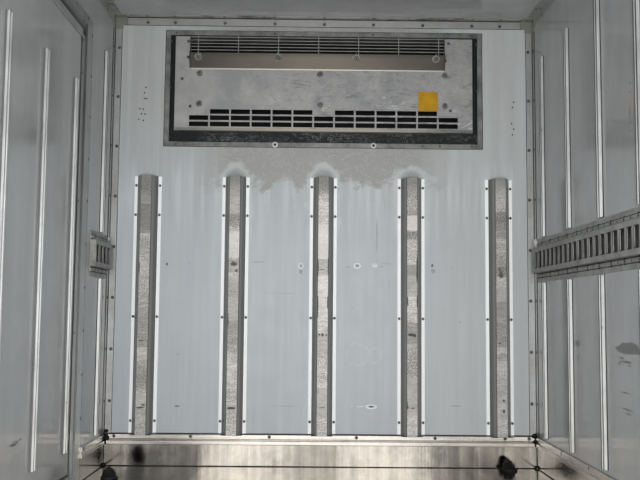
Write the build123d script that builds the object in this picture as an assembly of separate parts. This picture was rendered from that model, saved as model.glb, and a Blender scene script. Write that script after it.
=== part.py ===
"""Insulated load body of a two-tonne refrigerated truck, with its evaporator, nose condenser and three doors.

+Y points to the cab, +X to the driver's right and +Z up. The origin is under the middle of the body, on the plane
that its long sills stand on. Sizes are millimetres. Inside the box, a place along the body is given as its
distance from the front wall, and a height as its height above the deck.
"""

from build123d import *
from math import ceil, floor
import os

# Load space, read from the photograph and from this class of body
INTERIOR_WIDTH = 1675.0
INTERIOR_HEIGHT = 1768.0
INTERIOR_LENGTH = 3070.0

# Sandwich panels
SIDE_WALL = 75.0
FRONT_WALL = 100.0
ROOF = 85.0
FLOOR_SLAB = 100.0
DECK = 3.0

# Underframe
SILL_HEIGHT = 90.0
SILL_FLANGE = 45.0
SILL_SHEET = 6.0
SILL_SPACING = 700.0
SILL_SETBACK = 20.0
CROSS_HEIGHT = 80.0
CROSS_FLANGE = 40.0
CROSS_SHEET = 4.0
CROSS_COUNT = 9
MOUNT_HOLE_RADIUS = 7.5
MOUNT_HOLE_PITCH = 2400.0

# Outer edge angles and lower side rails
EDGE_LEG = 62.0
EDGE_SHEET = 4.0
EDGE_RADIUS = 12.0
LOWER_RAIL_TOP = 262.0
LOWER_RAIL_SHEET = 5.0
LOWER_RAIL_LIP = 14.0

# Rear frame and doors
FRAME_DEPTH = 110.0
FRAME_LIP = 20.0
DOOR_THICKNESS = 85.0
DOOR_PROUD = 8.0
DOOR_OVERLAP = 35.0
DOOR_GAP = 5.0
DOOR_CENTRE_GAP = 7.0
DOOR_EDGE_TAPER = 5.0
DOOR_EDGE_RADIUS = 6.0
GASKET_WIDTH = 22.0
GASKET_THICKNESS = 7.0
DOOR_REST_TURN = 270.0
REAR_RIB_SPACING = 250.0

# Door hinges
PIN_OUTBOARD = 22.0
PIN_OFFSET = 30.0
PIN_RADIUS = 6.0
PIN_CLEARANCE = 0.3
KNUCKLE_RADIUS = 11.0
KNUCKLE_GAP = 1.0
STRAP_THICKNESS = 8.0
STRAP_HEIGHT = 46.0
STRAP_LENGTH = 290.0
STRAP_POINT = 18.0
EAR_HEIGHT = 12.0
BRACKET_SHEET = 6.0
BRACKET_LENGTH = 70.0
REAR_HINGE_HEIGHTS = (180.0, 900.0, 1600.0)
SIDE_HINGE_HEIGHTS = (260.0, 1340.0)

# Door locks
ROD_RADIUS = 10.0
ROD_STANDOFF = 20.0
ROD_FROM_EDGE = 120.0
ROD_OVERRUN = 34.0
CAM_REACH = 26.0
CAM_HEIGHT = 12.0
GUIDE_SHEET = 4.0
GUIDE_CLEARANCE = 0.5
GUIDE_FLANGE = 16.0
GUIDE_HEIGHT = 40.0
GUIDE_FROM_END = 60.0
GUIDE_FROM_GRIP = 150.0
HUB_HALF = 13.0
HANDLE_LENGTH = 300.0
HANDLE_SHEET = 7.0
HANDLE_HEIGHT = 28.0
HANDLE_RAISE = 10.0
CATCH_LENGTH = 40.0
REAR_GRIP_HEIGHT = 520.0
SIDE_GRIP_HEIGHT = 600.0
KEEPER_CHEEK = 8.0
KEEPER_GAP = 6.0
KEEPER_HEIGHT = 30.0

# Side doorway in the left wall: widths of its parts are drawn in from the hole's edge
DOORWAY_START = 394.0
DOORWAY_WIDTH = 1030.0
DOORWAY_TOP = 1606.0
DOORWAY_FRAME = 18.0
DOORWAY_RECESS = 4.0
DOORWAY_LIP_THICKNESS = 12.5
JAMB_LIP = 75.0
HEADER_LIP = 44.0
SILL_LIP = 42.0
JAMB_FOLD = 30.0
HEADER_FOLD = 14.0
SILL_FOLD = 8.0
JAMB_FLANGE = 42.0
HEADER_FLANGE = 22.0
FLANGE_SHEET = 2.0
SIDE_DOOR_SETBACK = 1.5
SIDE_DOOR_PROUD = 9.5
SIDE_DOOR_SEAL_GAP = 12.0
SIDE_DOOR_SWING_GAP = 10.0
SIDE_DOOR_PLUG_GAP = 10.0
SIDE_SEAL_MARGIN = 2.0
SIDE_PIN_OUTBOARD = 20.0
SIDE_PIN_FORWARD = 8.0
DOOR_RIB_COUNT = 3
DOOR_RIB_FIRST = 542.0
DOOR_RIB_PITCH = 329.0
DOOR_RIB_BOTTOM = 130.0
DOOR_RIB_TOP = 1368.0

# Upright ribs on the walls: two beads with a groove between them
RIB_WIDTH = 30.0
RIB_HEIGHT = 12.0
RIB_GROOVE = 8.0
RIB_SLOPE = 2.0
RIB_COUNT = 9
RIB_FIRST = 147.0
RIB_TO_FRAME = 266.0
RIB_BOTTOM = 135.0
RIB_TOP = 1580.0
RIB_TO_RAIL = 4.0
RIB_TO_DOORWAY = 60.0

# Trims and mouldings
TRIM_LEG = 28.0
TRIM_SHEET = 2.0
CEILING_TRIM_LEG = 32.0
CORNER_BLOCK = 50.0
CORNER_SHEET = 5.0
CORNER_ARM = 33.0
KICK_HEIGHT = 81.0
KICK_SHEET = 2.0
SKIRTING_TOP = 123.0
SKIRTING_DEPTH = 9.0
SKIRTING_GROOVE = (16.0, 23.0)
SKIRTING_GROOVE_DEPTH = 5.0
SKIRTING_EASE = 2.0

# Five hat sections on the front wall
HAT_COUNT = 5
HAT_PITCH = 346.0
HAT_OFFSET = 2.5
HAT_WIDTH = 107.0
HAT_BASE = 82.0
HAT_FACE = 39.0
HAT_DEPTH = 45.0
HAT_SHEET = 2.0
HAT_TOP = 1123.0

# Lashing rail: a slotted channel between two beads and two flanges
RAIL_START = 45.0
RAIL_TO_FRAME = 52.0
RAIL_TO_DOORWAY = 95.0
RAIL_MIDDLE = 799.0
RAIL_HEIGHT = 166.0
RAIL_DEPTH = 23.0
RAIL_SHEET = 2.5
RAIL_FACE = 97.0
RAIL_EASE = 2.0
BEAD_PROUD = 7.0
BEAD_CENTRE = 10.0
BEAD_CREST = 5.0
BEAD_FOOT = 7.0
SLOT_PITCH = 54.7
SLOT_FIRST = 104.5
SLOT_WIDTH = 33.0
SLOT_HEIGHT = 58.0

# Drain plugs standing on the deck, as x and distance from the front wall
PLUG_PLACES = ((718.0, 48.0), (-752.0, 265.0))
PLUG_RADIUS = 31.0
PLUG_NECK_RADIUS = 17.0
PLUG_FLANGE = 8.0
PLUG_HEIGHT = 38.0
PLUG_TAB_TOP = 56.0
PLUG_TAB_WIDTH = 28.0
PLUG_TAB_SHEET = 9.0
PLUG_TAB_BEVEL = 7.0

# Evaporator in its opening in the front wall
OPENING_HALF = 613.5
OPENING_BOTTOM = 1264.0
OPENING_TOP = 1696.0
OPENING_FLANGE = 19.0
OPENING_SHEET = 3.0
COVER_HALF = 593.0
COVER_BOTTOM = 1308.0
COVER_TOP = 1690.0
COVER_PROUD = 5.0
COVER_DEPTH = 65.0
COVER_SHEET = 1.5
COVER_LIP = 13.0
COVER_LIP_FLARE = 9.0
SEAL_SETBACK = 4.0
SEAL_THICKNESS = 12.0
SEAL_BEAD = 4.0
EVAPORATOR_REACH = 60.0
VENT_COLUMNS = 13
VENT_PITCH = 82.7
VENT_WIDTH = 76.0
VENT_HEIGHT = 19.0
VENT_ROW_PITCH = 25.3
VENT_BOTTOM = 1325.5
OUTLET_LEFT = -532.0
OUTLET_RIGHT = 479.0
OUTLET_BOTTOM = 1557.0
OUTLET_PROUD = 25.0
DEFLECTOR_TOP = 1617.0
DEFLECTOR_SHEET = 2.0
SLAT_COUNT = 5
SLAT_PITCH = 13.0
SLAT_FIRST = 1629.0
SLAT_HEIGHT = 3.0
SLAT_DEPTH = 7.0
SLAT_END_GAP = 0.5
WIRE_COUNT = 7
WIRE_PITCH = 159.2
WIRE_FIRST = -500.0
WIRE_WIDTH = 3.0

# Ceiling lamp
LAMP_DISTANCE = 1500.0
LAMP_LENGTH = 260.0
LAMP_WIDTH = 120.0
LAMP_BASE = 16.0
LAMP_RIM = 12.0
LAMP_DOME = 22.0
LAMP_EDGE = 10.0

# Condenser unit on the nose
NOSE_HALF = 660.0
NOSE_BOTTOM = 1215.0
NOSE_TOP = 1740.0
NOSE_DEPTH = 360.0
NOSE_SHEET = 5.0
NOSE_CORNER = 45.0
NOSE_ROOF = 170.0
NOSE_BROW = 110.0
NOSE_CHIN = 70.0
LOUVRE_COUNT = 6
LOUVRE_PITCH = 48.0
LOUVRE_FIRST = 130.0
LOUVRE_HEIGHT = 18.0
LOUVRE_START = 90.0
LOUVRE_LENGTH = 160.0
COIL_START = 150.0
COIL_THICKNESS = 45.0
COIL_TO_CHEEK = 20.0
COIL_BOTTOM = 20.0
COIL_TOP = 80.0
FAN_SPACING = 580.0
FAN_HEIGHT = 1455.0
FAN_SETBACK = 60.0
FAN_RADIUS = 150.0
FAN_OPENING = 160.0
FAN_HUB = 48.0
FAN_DEPTH = 44.0
FAN_CAP = 24.0
FAN_CAP_HEIGHT = 14.0
FAN_BLADES = 5
BLADE_CHORD = 88.0
BLADE_ROOT = 30.0
BLADE_TRIM = 22.0
BLADE_PITCH = 28.0
BLADE_SHEET = 3.0
GUARD_WIRE = 4.0
GUARD_COUNT = 13
GUARD_PITCH = 25.0
GUARD_OVERRUN = 12.0

# Marker lamps along the lower rails, and rear buffers
MARKER_COUNT = 3
MARKER_FIRST = 350.0
MARKER_TO_FRAME = 387.0
MARKER_LENGTH = 110.0
MARKER_PROUD = 22.0
MARKER_BOTTOM = 160.0
MARKER_TOP = 205.0
MARKER_BEVEL = 8.0
BUFFER_START = 560.0
BUFFER_LENGTH = 200.0
BUFFER_BOTTOM = 98.0
BUFFER_TOP = 178.0
BUFFER_PROUD = 40.0
BUFFER_BEVEL = 12.0

# Levels and planes worked out from the sizes above
SLAB_Z = SILL_HEIGHT + CROSS_HEIGHT
FLOOR_Z = SLAB_Z + FLOOR_SLAB + DECK
CEILING_Z = FLOOR_Z + INTERIOR_HEIGHT
ROOF_Z = CEILING_Z + ROOF
HALF_IN = INTERIOR_WIDTH / 2
HALF_OUT = HALF_IN + SIDE_WALL
PIN_DROP = PIN_OFFSET + DOOR_PROUD
REAR_REACH = PIN_DROP + KNUCKLE_RADIUS
BOX_LENGTH = DOOR_THICKNESS - DOOR_PROUD + INTERIOR_LENGTH + FRONT_WALL
OVERALL_LENGTH = REAR_REACH + BOX_LENGTH + NOSE_DEPTH + GUARD_WIRE
REAR_Y = REAR_REACH - OVERALL_LENGTH / 2
FRAME_Y = REAR_Y + FRAME_DEPTH
NOSE_Y = REAR_Y + BOX_LENGTH
FRONT_Y = NOSE_Y - FRONT_WALL
WALL_Z = (SLAB_Z, CEILING_Z)
WALL_RUN = FRONT_Y - FRAME_Y
RIB_PITCH = (WALL_RUN - RIB_FIRST - RIB_TO_FRAME) / (RIB_COUNT - 1)
RAIL_END = WALL_RUN - RAIL_TO_FRAME
MARKER_PITCH = (WALL_RUN - MARKER_FIRST - MARKER_TO_FRAME) / (MARKER_COUNT - 1)

PARTS = {}


def block(x0, x1, y0, y1, z0, z1):
    """A box between two corners."""
    size = (abs(x1 - x0), abs(y1 - y0), abs(z1 - z0))
    return Pos((x0 + x1) / 2, (y0 + y1) / 2, (z0 + z1) / 2) * Box(*size)


def outline(points, plane):
    """A face with straight edges through points that are given in the plane's own two directions."""
    return plane * make_face(Polyline(*points, close=True))


def along_x(points, x0, x1):
    """A (y, z) outline drawn out from x0 to x1."""
    return extrude(outline(points, Plane.YZ.offset(x0)), x1 - x0)


def along_y(points, y0, y1):
    """An (x, z) outline drawn out from y0 to y1."""
    return extrude(outline(points, Plane((0, y0, 0), x_dir=(1, 0, 0), z_dir=(0, -1, 0))), y0 - y1)


def along_z(points, z0, z1):
    """An (x, y) outline drawn out from z0 to z1."""
    return extrude(outline(points, Plane.XY.offset(z0)), z1 - z0)


def depth_y(distance):
    """The y of a place that is this far behind the front wall."""
    return FRONT_Y - distance


def deck_z(height):
    """The z of a height above the deck."""
    return FLOOR_Z + height


def keep(name, *shapes):
    """Stores a node's solids under its name."""
    solids = [solid for shape in shapes for solid in shape.solids()]
    PARTS[name] = Compound(children=solids) if len(solids) > 1 else solids[0]


def mirrored(shape):
    """The same shape on the body's other side."""
    return mirror(shape, about=Plane.YZ)


def turned(shape, x, y, degrees):
    """A shape turned about an upright axis through x, y."""
    return Pos(x, y, 0) * Rot(0, 0, degrees) * Pos(-x, -y, 0) * shape


def channel(depth, flange, sheet):
    """A channel's (across, up) outline, its web at 0 and its flanges towards +across."""
    inner = depth - sheet
    return [(0, 0), (flange, 0), (flange, sheet), (sheet, sheet), (sheet, inner), (flange, inner), (flange, depth),
            (0, depth)]


def both_halves(points):
    """An outline's right half followed by its mirror image, which closes it."""
    return points + [(-across, up) for across, up in reversed(points)]


def angle(leg, sheet):
    """An angle's outline with its corner at 0, 0 and its legs along the two axes."""
    return [(0, 0), (leg, 0), (leg, sheet), (sheet, sheet), (sheet, leg), (0, leg)]


def underframe():
    """Two long sills with the chassis bolt holes, and cross members on top of them."""
    sills = []
    for side in (-1, 1):
        web = side * SILL_SPACING / 2
        section = [(web - side * across, up) for across, up in channel(SILL_HEIGHT, SILL_FLANGE, SILL_SHEET)]
        sill = along_y(section, REAR_Y + SILL_SETBACK, NOSE_Y)
        for end in (-1, 1):
            hole = Pos(web - side * SILL_FLANGE / 2, end * MOUNT_HOLE_PITCH / 2, SILL_SHEET / 2)
            sill -= hole * Cylinder(MOUNT_HOLE_RADIUS, SILL_SHEET * 2)
        sills.append(sill)
    keep("long_sills", *sills)

    members = []
    first, last = FRAME_Y + CROSS_FLANGE, NOSE_Y - 2 * CROSS_FLANGE
    for k in range(CROSS_COUNT):
        web = first + (last - first) * k / (CROSS_COUNT - 1)
        section = channel(CROSS_HEIGHT, CROSS_FLANGE, CROSS_SHEET)
        members.append(along_x([(web + y, SILL_HEIGHT + z) for y, z in section], -HALF_OUT, HALF_OUT))
    keep("cross_members", *members)


def doorway_box(x0, x1, jamb, header, sill):
    """A block through the side doorway, its edges drawn in from the hole's by the three margins."""
    return block(x0, x1, depth_y(DOORWAY_START + DOORWAY_WIDTH - jamb), depth_y(DOORWAY_START + jamb),
                 FLOOR_Z + sill, deck_z(DOORWAY_TOP - header))


def panels():
    """The floor, roof and walls, each as thick as its whole sandwich, with their two large holes."""
    keep("floor_panel", block(-HALF_IN, HALF_IN, FRAME_Y, FRONT_Y, SLAB_Z, SLAB_Z + FLOOR_SLAB))
    keep("floor_plate", block(-HALF_IN, HALF_IN, FRAME_Y, FRONT_Y, SLAB_Z + FLOOR_SLAB, FLOOR_Z))
    keep("roof_panel", block(-HALF_OUT, HALF_OUT, FRAME_Y, NOSE_Y, CEILING_Z, ROOF_Z))
    keep("right_wall", block(HALF_IN, HALF_OUT, FRAME_Y, NOSE_Y, *WALL_Z))
    left = block(-HALF_OUT, -HALF_IN, FRAME_Y, NOSE_Y, *WALL_Z)
    keep("left_wall", left - doorway_box(-HALF_OUT, -HALF_IN, 0, 0, 0))
    hole_half = OPENING_HALF + OPENING_SHEET
    hole = block(-hole_half, hole_half, FRONT_Y, NOSE_Y, deck_z(OPENING_BOTTOM - OPENING_SHEET),
                 deck_z(OPENING_TOP + OPENING_SHEET))
    keep("front_wall", block(-HALF_IN, HALF_IN, FRONT_Y, NOSE_Y, *WALL_Z) - hole)


def edge_angle(length):
    """A rounded outer angle along +Z whose inner corner is at the origin, with its legs along -X and -Y."""
    t = EDGE_SHEET
    section = outline([(t - x, t - y) for x, y in angle(EDGE_LEG + t, t)], Plane.XY)
    corner = section.vertices().sort_by(lambda vertex: vertex.X + vertex.Y)[-1]
    return extrude(fillet(corner, EDGE_RADIUS), length)


def outer_edges():
    """Angles that cap the box's long roof edges, its front roof edge and its two front corners."""
    roof_edge = Pos(HALF_OUT, NOSE_Y, ROOF_Z) * Rot(90, 0, 0) * edge_angle(NOSE_Y - FRAME_Y)
    front_edge = Pos(-HALF_OUT, NOSE_Y, ROOF_Z) * Rot(0, 90, 0) * Rot(0, 0, 90) * edge_angle(2 * HALF_OUT)
    post = Pos(HALF_OUT, NOSE_Y, SLAB_Z) * edge_angle(ROOF_Z - SLAB_Z)
    keep("outer_edge_rails", roof_edge + mirrored(roof_edge) + front_edge + post + mirrored(post))

    out, t = LOWER_RAIL_LIP, LOWER_RAIL_SHEET
    section = [(0, SILL_HEIGHT), (t, SILL_HEIGHT), (t, LOWER_RAIL_TOP - t), (out, LOWER_RAIL_TOP - t),
               (out, LOWER_RAIL_TOP), (0, LOWER_RAIL_TOP)]
    rail = along_y([(HALF_OUT + x, z) for x, z in section], FRAME_Y, NOSE_Y - EDGE_LEG)
    keep("lower_side_rails", rail, mirrored(rail))


# Rear frame and the closed doors' planes, from the frame's own sizes
REBATE_HALF = HALF_IN + DOOR_OVERLAP
REBATE_BOTTOM = FLOOR_Z - DOOR_OVERLAP
REBATE_TOP = CEILING_Z + DOOR_OVERLAP
REBATE_Y = FRAME_Y - FRAME_LIP
PIN_X = HALF_OUT + PIN_OUTBOARD
PIN_Y = REAR_Y - PIN_DROP
DOOR_OUTER_Y = REAR_Y - DOOR_PROUD
DOOR_INNER_Y = DOOR_OUTER_Y + DOOR_THICKNESS
DOOR_HINGE_X = REBATE_HALF - DOOR_GAP
DOOR_FREE_X = DOOR_CENTRE_GAP + DOOR_EDGE_TAPER
DOOR_BOTTOM = REBATE_BOTTOM + DOOR_GAP
DOOR_TOP = REBATE_TOP - DOOR_GAP
ROD_X = DOOR_CENTRE_GAP + ROD_FROM_EDGE


def rear_frame():
    """One welded ring with a rebate that the doors close into, cut out over the long sills."""
    ring = block(-HALF_OUT, HALF_OUT, REAR_Y, FRAME_Y, SILL_HEIGHT, ROOF_Z)
    ring -= block(-REBATE_HALF, REBATE_HALF, REAR_Y, REBATE_Y, REBATE_BOTTOM, REBATE_TOP)
    ring -= block(-HALF_IN, HALF_IN, REBATE_Y, FRAME_Y, FLOOR_Z, CEILING_Z)
    ring -= block(-SILL_SPACING / 2, SILL_SPACING / 2, REAR_Y + SILL_SETBACK, FRAME_Y, SILL_HEIGHT, SLAB_Z)
    keep("rear_frame", ring)


def rear_leaf():
    """The insulated leaf, its free edge tapered inwards so that the two leaves swing past each other."""
    leaf = along_z([(DOOR_CENTRE_GAP, DOOR_OUTER_Y), (DOOR_HINGE_X, DOOR_OUTER_Y), (DOOR_HINGE_X, DOOR_INNER_Y),
                    (DOOR_FREE_X, DOOR_INNER_Y)], DOOR_BOTTOM, DOOR_TOP)
    outer_uprights = leaf.edges().filter_by(Axis.Z).group_by(Axis.Y)[0]
    return fillet(outer_uprights, DOOR_EDGE_RADIUS)


def rear_gasket():
    """The rubber ring on the leaf's inner face, which meets the frame's lip."""
    x0, x1, w = DOOR_FREE_X, DOOR_HINGE_X, GASKET_WIDTH
    y0, y1 = DOOR_INNER_Y, DOOR_INNER_Y + GASKET_THICKNESS
    ring = block(x0, x1, y0, y1, DOOR_BOTTOM, DOOR_TOP)
    return ring - block(x0 + w, x1 - w, y0, y1, DOOR_BOTTOM + w, DOOR_TOP - w)


def rib_section(centre):
    """A rib's two beads as (along, out) points, with the rib's middle at centre."""
    half, groove, lean, out = RIB_WIDTH / 2, RIB_GROOVE / 2, RIB_SLOPE, RIB_HEIGHT
    bead = [(half, 0), (half - lean, out), (groove + lean, out), (groove, out / 2)]
    return [(centre + x, y) for x, y in both_halves(bead)]


def rear_ribs():
    """Three upright ribs on the leaf's inner face."""
    middle = (DOOR_CENTRE_GAP + HALF_IN) / 2
    return [along_z([(x, DOOR_INNER_Y + out) for x, out in rib_section(middle + k * REAR_RIB_SPACING)],
                    deck_z(RIB_BOTTOM), deck_z(RIB_TOP)) for k in (-1, 0, 1)]


# Hinges and locks are drawn about an upright axis at 0, 0. The leaf lies towards -X from a hinge pin, and its
# outer face is the plane y = drop. Handles point to +X.
def knuckle(*foot):
    """The outline of a forged knuckle round the pin, which runs on to the points of its foot."""
    r = KNUCKLE_RADIUS
    return [(r, 0), (r / 2, -r), (-r / 2, -r), (-r, 0), *foot]


def hinge_strap(drop):
    """A pointed strap whose end is a bored knuckle, its middle at z = 0."""
    near, end, half = drop - STRAP_THICKNESS, -STRAP_LENGTH, STRAP_HEIGHT / 2
    foot = ((-KNUCKLE_RADIUS, near), (end + STRAP_POINT, near), (end, drop), (KNUCKLE_RADIUS, drop))
    return along_z(knuckle(*foot), -half, half) - Cylinder(PIN_RADIUS + PIN_CLEARANCE, STRAP_HEIGHT)


def hinge_bracket(foot, plate):
    """Two ears that reach from the pin to the points of their foot, on a plate, with the pin between them."""
    inner = STRAP_HEIGHT / 2 + KNUCKLE_GAP
    outer = inner + EAR_HEIGHT
    x0, x1, y0, y1 = plate
    ears = [along_z(knuckle(*foot), z0, z1) for z0, z1 in ((-outer, -inner), (inner, outer))]
    return block(x0, x1, y0, y1, -outer, outer) + ears + Cylinder(PIN_RADIUS, inner + outer)


def lock_gear(low, high, grip):
    """A lock rod from low to high with a cam at each end, its handle, its guides and the handle's catch."""
    rod = Pos(0, 0, (low + high) / 2) * Cylinder(ROD_RADIUS, high - low - CAM_HEIGHT)
    hub, reach = HUB_HALF, HANDLE_LENGTH
    cam = [(-hub, -hub), (hub, -hub), (CAM_REACH, 0), (hub, hub), (-hub, hub)]
    for z in (low, high - CAM_HEIGHT):
        rod += along_z(cam, z, z + CAM_HEIGHT)
    bend, back, raised = reach - CATCH_LENGTH, -hub + HANDLE_SHEET, -hub - HANDLE_RAISE
    lever = [(-hub, hub), (-hub, -hub), (bend, -hub), (reach, raised), (reach, raised + HANDLE_SHEET), (bend, back),
             (2 * hub, back), (hub, hub)]
    rod += along_z(lever, grip - HANDLE_HEIGHT / 2, grip + HANDLE_HEIGHT / 2)

    bore, foot = ROD_RADIUS + GUIDE_CLEARANCE, ROD_STANDOFF
    wall = bore + GUIDE_SHEET
    flange, seat = wall + GUIDE_FLANGE, foot - GUIDE_SHEET
    guide = both_halves([(bore, -bore), (bore, foot), (flange, foot), (flange, seat), (wall, seat), (wall, -wall)])
    places = (low + GUIDE_FROM_END, grip - GUIDE_FROM_GRIP, grip + GUIDE_FROM_GRIP, high - GUIDE_FROM_END)
    guides = [along_z(guide, z - GUIDE_HEIGHT / 2, z + GUIDE_HEIGHT / 2) for z in places]
    catch = block(bend - CATCH_LENGTH, bend, back + GUIDE_CLEARANCE, foot, grip - HANDLE_HEIGHT / 2,
                  grip + HANDLE_HEIGHT / 2)
    return [rod, *guides, catch]


def keeper(proud, z):
    """A plate with two cheeks that a cam turns between, its foot at z. The leaf is this proud of its frame."""
    face, near = ROD_STANDOFF + proud, CAM_REACH + KEEPER_GAP
    far = near + KEEPER_CHEEK
    cheek = [(near, face - GUIDE_SHEET), (near, -HUB_HALF), (far, -HUB_HALF), (far, face)]
    return along_z(both_halves(cheek), z, z + KEEPER_HEIGHT)


def rear_doors():
    """Both leaves with what moves with them, drawn closed on the right, then turned to stand open."""
    rod = lock_gear(DOOR_BOTTOM - ROD_OVERRUN, DOOR_TOP + ROD_OVERRUN, deck_z(REAR_GRIP_HEIGHT))
    straps = [Pos(PIN_X, PIN_Y, deck_z(height)) * hinge_strap(PIN_OFFSET) for height in REAR_HINGE_HEIGHTS]
    closed = {
        "rear_door": [rear_leaf()],
        "rear_door_gasket": [rear_gasket()],
        "rear_door_ribs": rear_ribs(),
        "rear_door_hardware": straps + [Pos(ROD_X, DOOR_OUTER_Y - ROD_STANDOFF, 0) * piece for piece in rod],
    }
    for name, shapes in closed.items():
        opened = [turned(shape, PIN_X, PIN_Y, DOOR_REST_TURN) for shape in shapes]
        keep("right_" + name, *opened)
        keep("left_" + name, *[mirrored(shape) for shape in opened])


def rear_fittings():
    """Hinge brackets on the posts, and lock keepers on the header and sill."""
    post = -PIN_OUTBOARD
    foot = [(post, PIN_DROP), (post, PIN_DROP + BRACKET_LENGTH / 2), (KNUCKLE_RADIUS, PIN_DROP)]
    bracket = hinge_bracket(foot, (post, post + BRACKET_SHEET, PIN_DROP, PIN_DROP + BRACKET_LENGTH))
    shapes = [Pos(PIN_X, PIN_Y, deck_z(height)) * bracket for height in REAR_HINGE_HEIGHTS]
    beyond = ROD_OVERRUN - KEEPER_HEIGHT / 2 - CAM_HEIGHT / 2
    for z in (DOOR_TOP + beyond, DOOR_BOTTOM - beyond - KEEPER_HEIGHT):
        shapes.append(Pos(ROD_X, DOOR_OUTER_Y - ROD_STANDOFF, 0) * keeper(DOOR_PROUD, z))
    keep("rear_door_fittings", *shapes, *[mirrored(shape) for shape in shapes])


# Side doorway and the closed side door's planes
LIP_X = -(HALF_IN + DOORWAY_RECESS)
LIP_BACK_X = LIP_X - DOORWAY_LIP_THICKNESS
LEAF_OUTER_X = -(HALF_OUT + SIDE_DOOR_PROUD)
LEAF_STEP_X = LIP_BACK_X - SIDE_DOOR_SEAL_GAP
LEAF_INNER_X = LIP_X - SIDE_DOOR_SETBACK
SIDE_PIN_X = LEAF_OUTER_X - SIDE_PIN_OUTBOARD
SIDE_PIN_Y = depth_y(DOORWAY_START - SIDE_PIN_FORWARD)
PLUG_MARGINS = (JAMB_LIP + SIDE_DOOR_PLUG_GAP, HEADER_LIP + SIDE_DOOR_PLUG_GAP, SILL_LIP + SIDE_DOOR_PLUG_GAP)


def side_doorway():
    """The doorway's frame: a sleeve through the wall, a lip that the leaf closes on and a flange."""
    sleeve = doorway_box(-HALF_OUT, -HALF_IN, 0, 0, 0)
    sleeve -= doorway_box(-HALF_OUT, LIP_BACK_X, DOORWAY_FRAME, DOORWAY_FRAME, DOORWAY_FRAME)
    sleeve -= doorway_box(LIP_BACK_X, LIP_X, JAMB_LIP, HEADER_LIP, SILL_LIP)
    sleeve -= doorway_box(LIP_X, -HALF_IN, JAMB_FOLD, HEADER_FOLD, SILL_FOLD)
    flange_x = -HALF_IN + FLANGE_SHEET
    flange = doorway_box(-HALF_IN, flange_x, -JAMB_FLANGE, -HEADER_FLANGE, 0)
    flange -= doorway_box(-HALF_IN, flange_x, JAMB_FOLD, HEADER_FOLD, SILL_FOLD)
    keep("side_doorway_frame", sleeve + flange)


def side_door():
    """A stepped leaf: a slab in the doorway frame and a plug behind it, with a rubber ring on the step."""
    margin = DOORWAY_FRAME + DOOR_GAP
    slab = doorway_box(LEAF_OUTER_X, LEAF_STEP_X, margin, margin, margin)
    swing = DOORWAY_FRAME + SIDE_DOOR_SWING_GAP
    slab -= block(LEAF_OUTER_X, LEAF_STEP_X, depth_y(DOORWAY_START + DOORWAY_WIDTH),
                  depth_y(DOORWAY_START + DOORWAY_WIDTH - swing), FLOOR_Z, deck_z(DOORWAY_TOP))
    keep("side_door", slab + doorway_box(LEAF_STEP_X, LEAF_INNER_X, *PLUG_MARGINS))

    ring_x = LEAF_STEP_X + SIDE_DOOR_SEAL_GAP / 2
    edge = margin + SIDE_SEAL_MARGIN
    ring = doorway_box(LEAF_STEP_X, ring_x, swing + SIDE_SEAL_MARGIN, edge, edge)
    keep("side_door_gasket", ring - doorway_box(LEAF_STEP_X, ring_x, *PLUG_MARGINS))

    ribs = []
    for k in range(DOOR_RIB_COUNT):
        section = rib_section(depth_y(DOOR_RIB_FIRST + k * DOOR_RIB_PITCH))
        ribs.append(along_z([(LEAF_INNER_X + out, y) for y, out in section], deck_z(DOOR_RIB_BOTTOM),
                            deck_z(DOOR_RIB_TOP)))
    keep("side_door_ribs", *ribs)


def on_left(shape, x, y, z):
    """A hinge or lock placed on the left wall, its leaf towards -Y."""
    return Pos(x, y, z) * Rot(0, 0, -90) * mirrored(shape)


def side_hardware():
    """Strap hinges at the front edge of the side door, and a lock rod with its handle near the rear edge."""
    wall, r = SIDE_PIN_OUTBOARD + SIDE_DOOR_PROUD, KNUCKLE_RADIUS
    foot = [(-r, wall), (BRACKET_LENGTH / 2, wall)]
    bracket = hinge_bracket(foot, (r, r + BRACKET_LENGTH, wall - BRACKET_SHEET, wall))
    strap = hinge_strap(SIDE_PIN_OUTBOARD)
    hinges = [(SIDE_PIN_X, SIDE_PIN_Y, deck_z(height)) for height in SIDE_HINGE_HEIGHTS]
    middle = (KEEPER_HEIGHT - CAM_HEIGHT) / 2
    low, high = LOWER_RAIL_TOP + middle, deck_z(DOORWAY_TOP) + ROD_OVERRUN
    edge = DOORWAY_START + DOORWAY_WIDTH - DOORWAY_FRAME
    lock = (LEAF_OUTER_X - ROD_STANDOFF, depth_y(edge - ROD_FROM_EDGE), 0)
    gear = [on_left(piece, *lock) for piece in lock_gear(low, high, deck_z(SIDE_GRIP_HEIGHT))]
    keep("side_door_hardware", *[on_left(strap, *place) for place in hinges], *gear)
    keepers = [on_left(keeper(SIDE_DOOR_PROUD, z), *lock) for z in (LOWER_RAIL_TOP, high - CAM_HEIGHT - middle)]
    keep("side_door_fittings", *[on_left(bracket, *place) for place in hinges], *keepers)


def wall_point(side, out):
    """The x of a point that stands out from a side wall by out."""
    return side * (HALF_IN - out)


# Runs along each wall, clear of the side doorway, as side, start and end
WALL_LENGTH = FRONT_Y - FRAME_Y
DOORWAY_FRONT = DOORWAY_START - JAMB_FLANGE
DOORWAY_BACK = DOORWAY_START + DOORWAY_WIDTH + JAMB_FLANGE
RAIL_BOTTOM = RAIL_MIDDLE - RAIL_HEIGHT / 2
RAIL_TOP = RAIL_MIDDLE + RAIL_HEIGHT / 2


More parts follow.
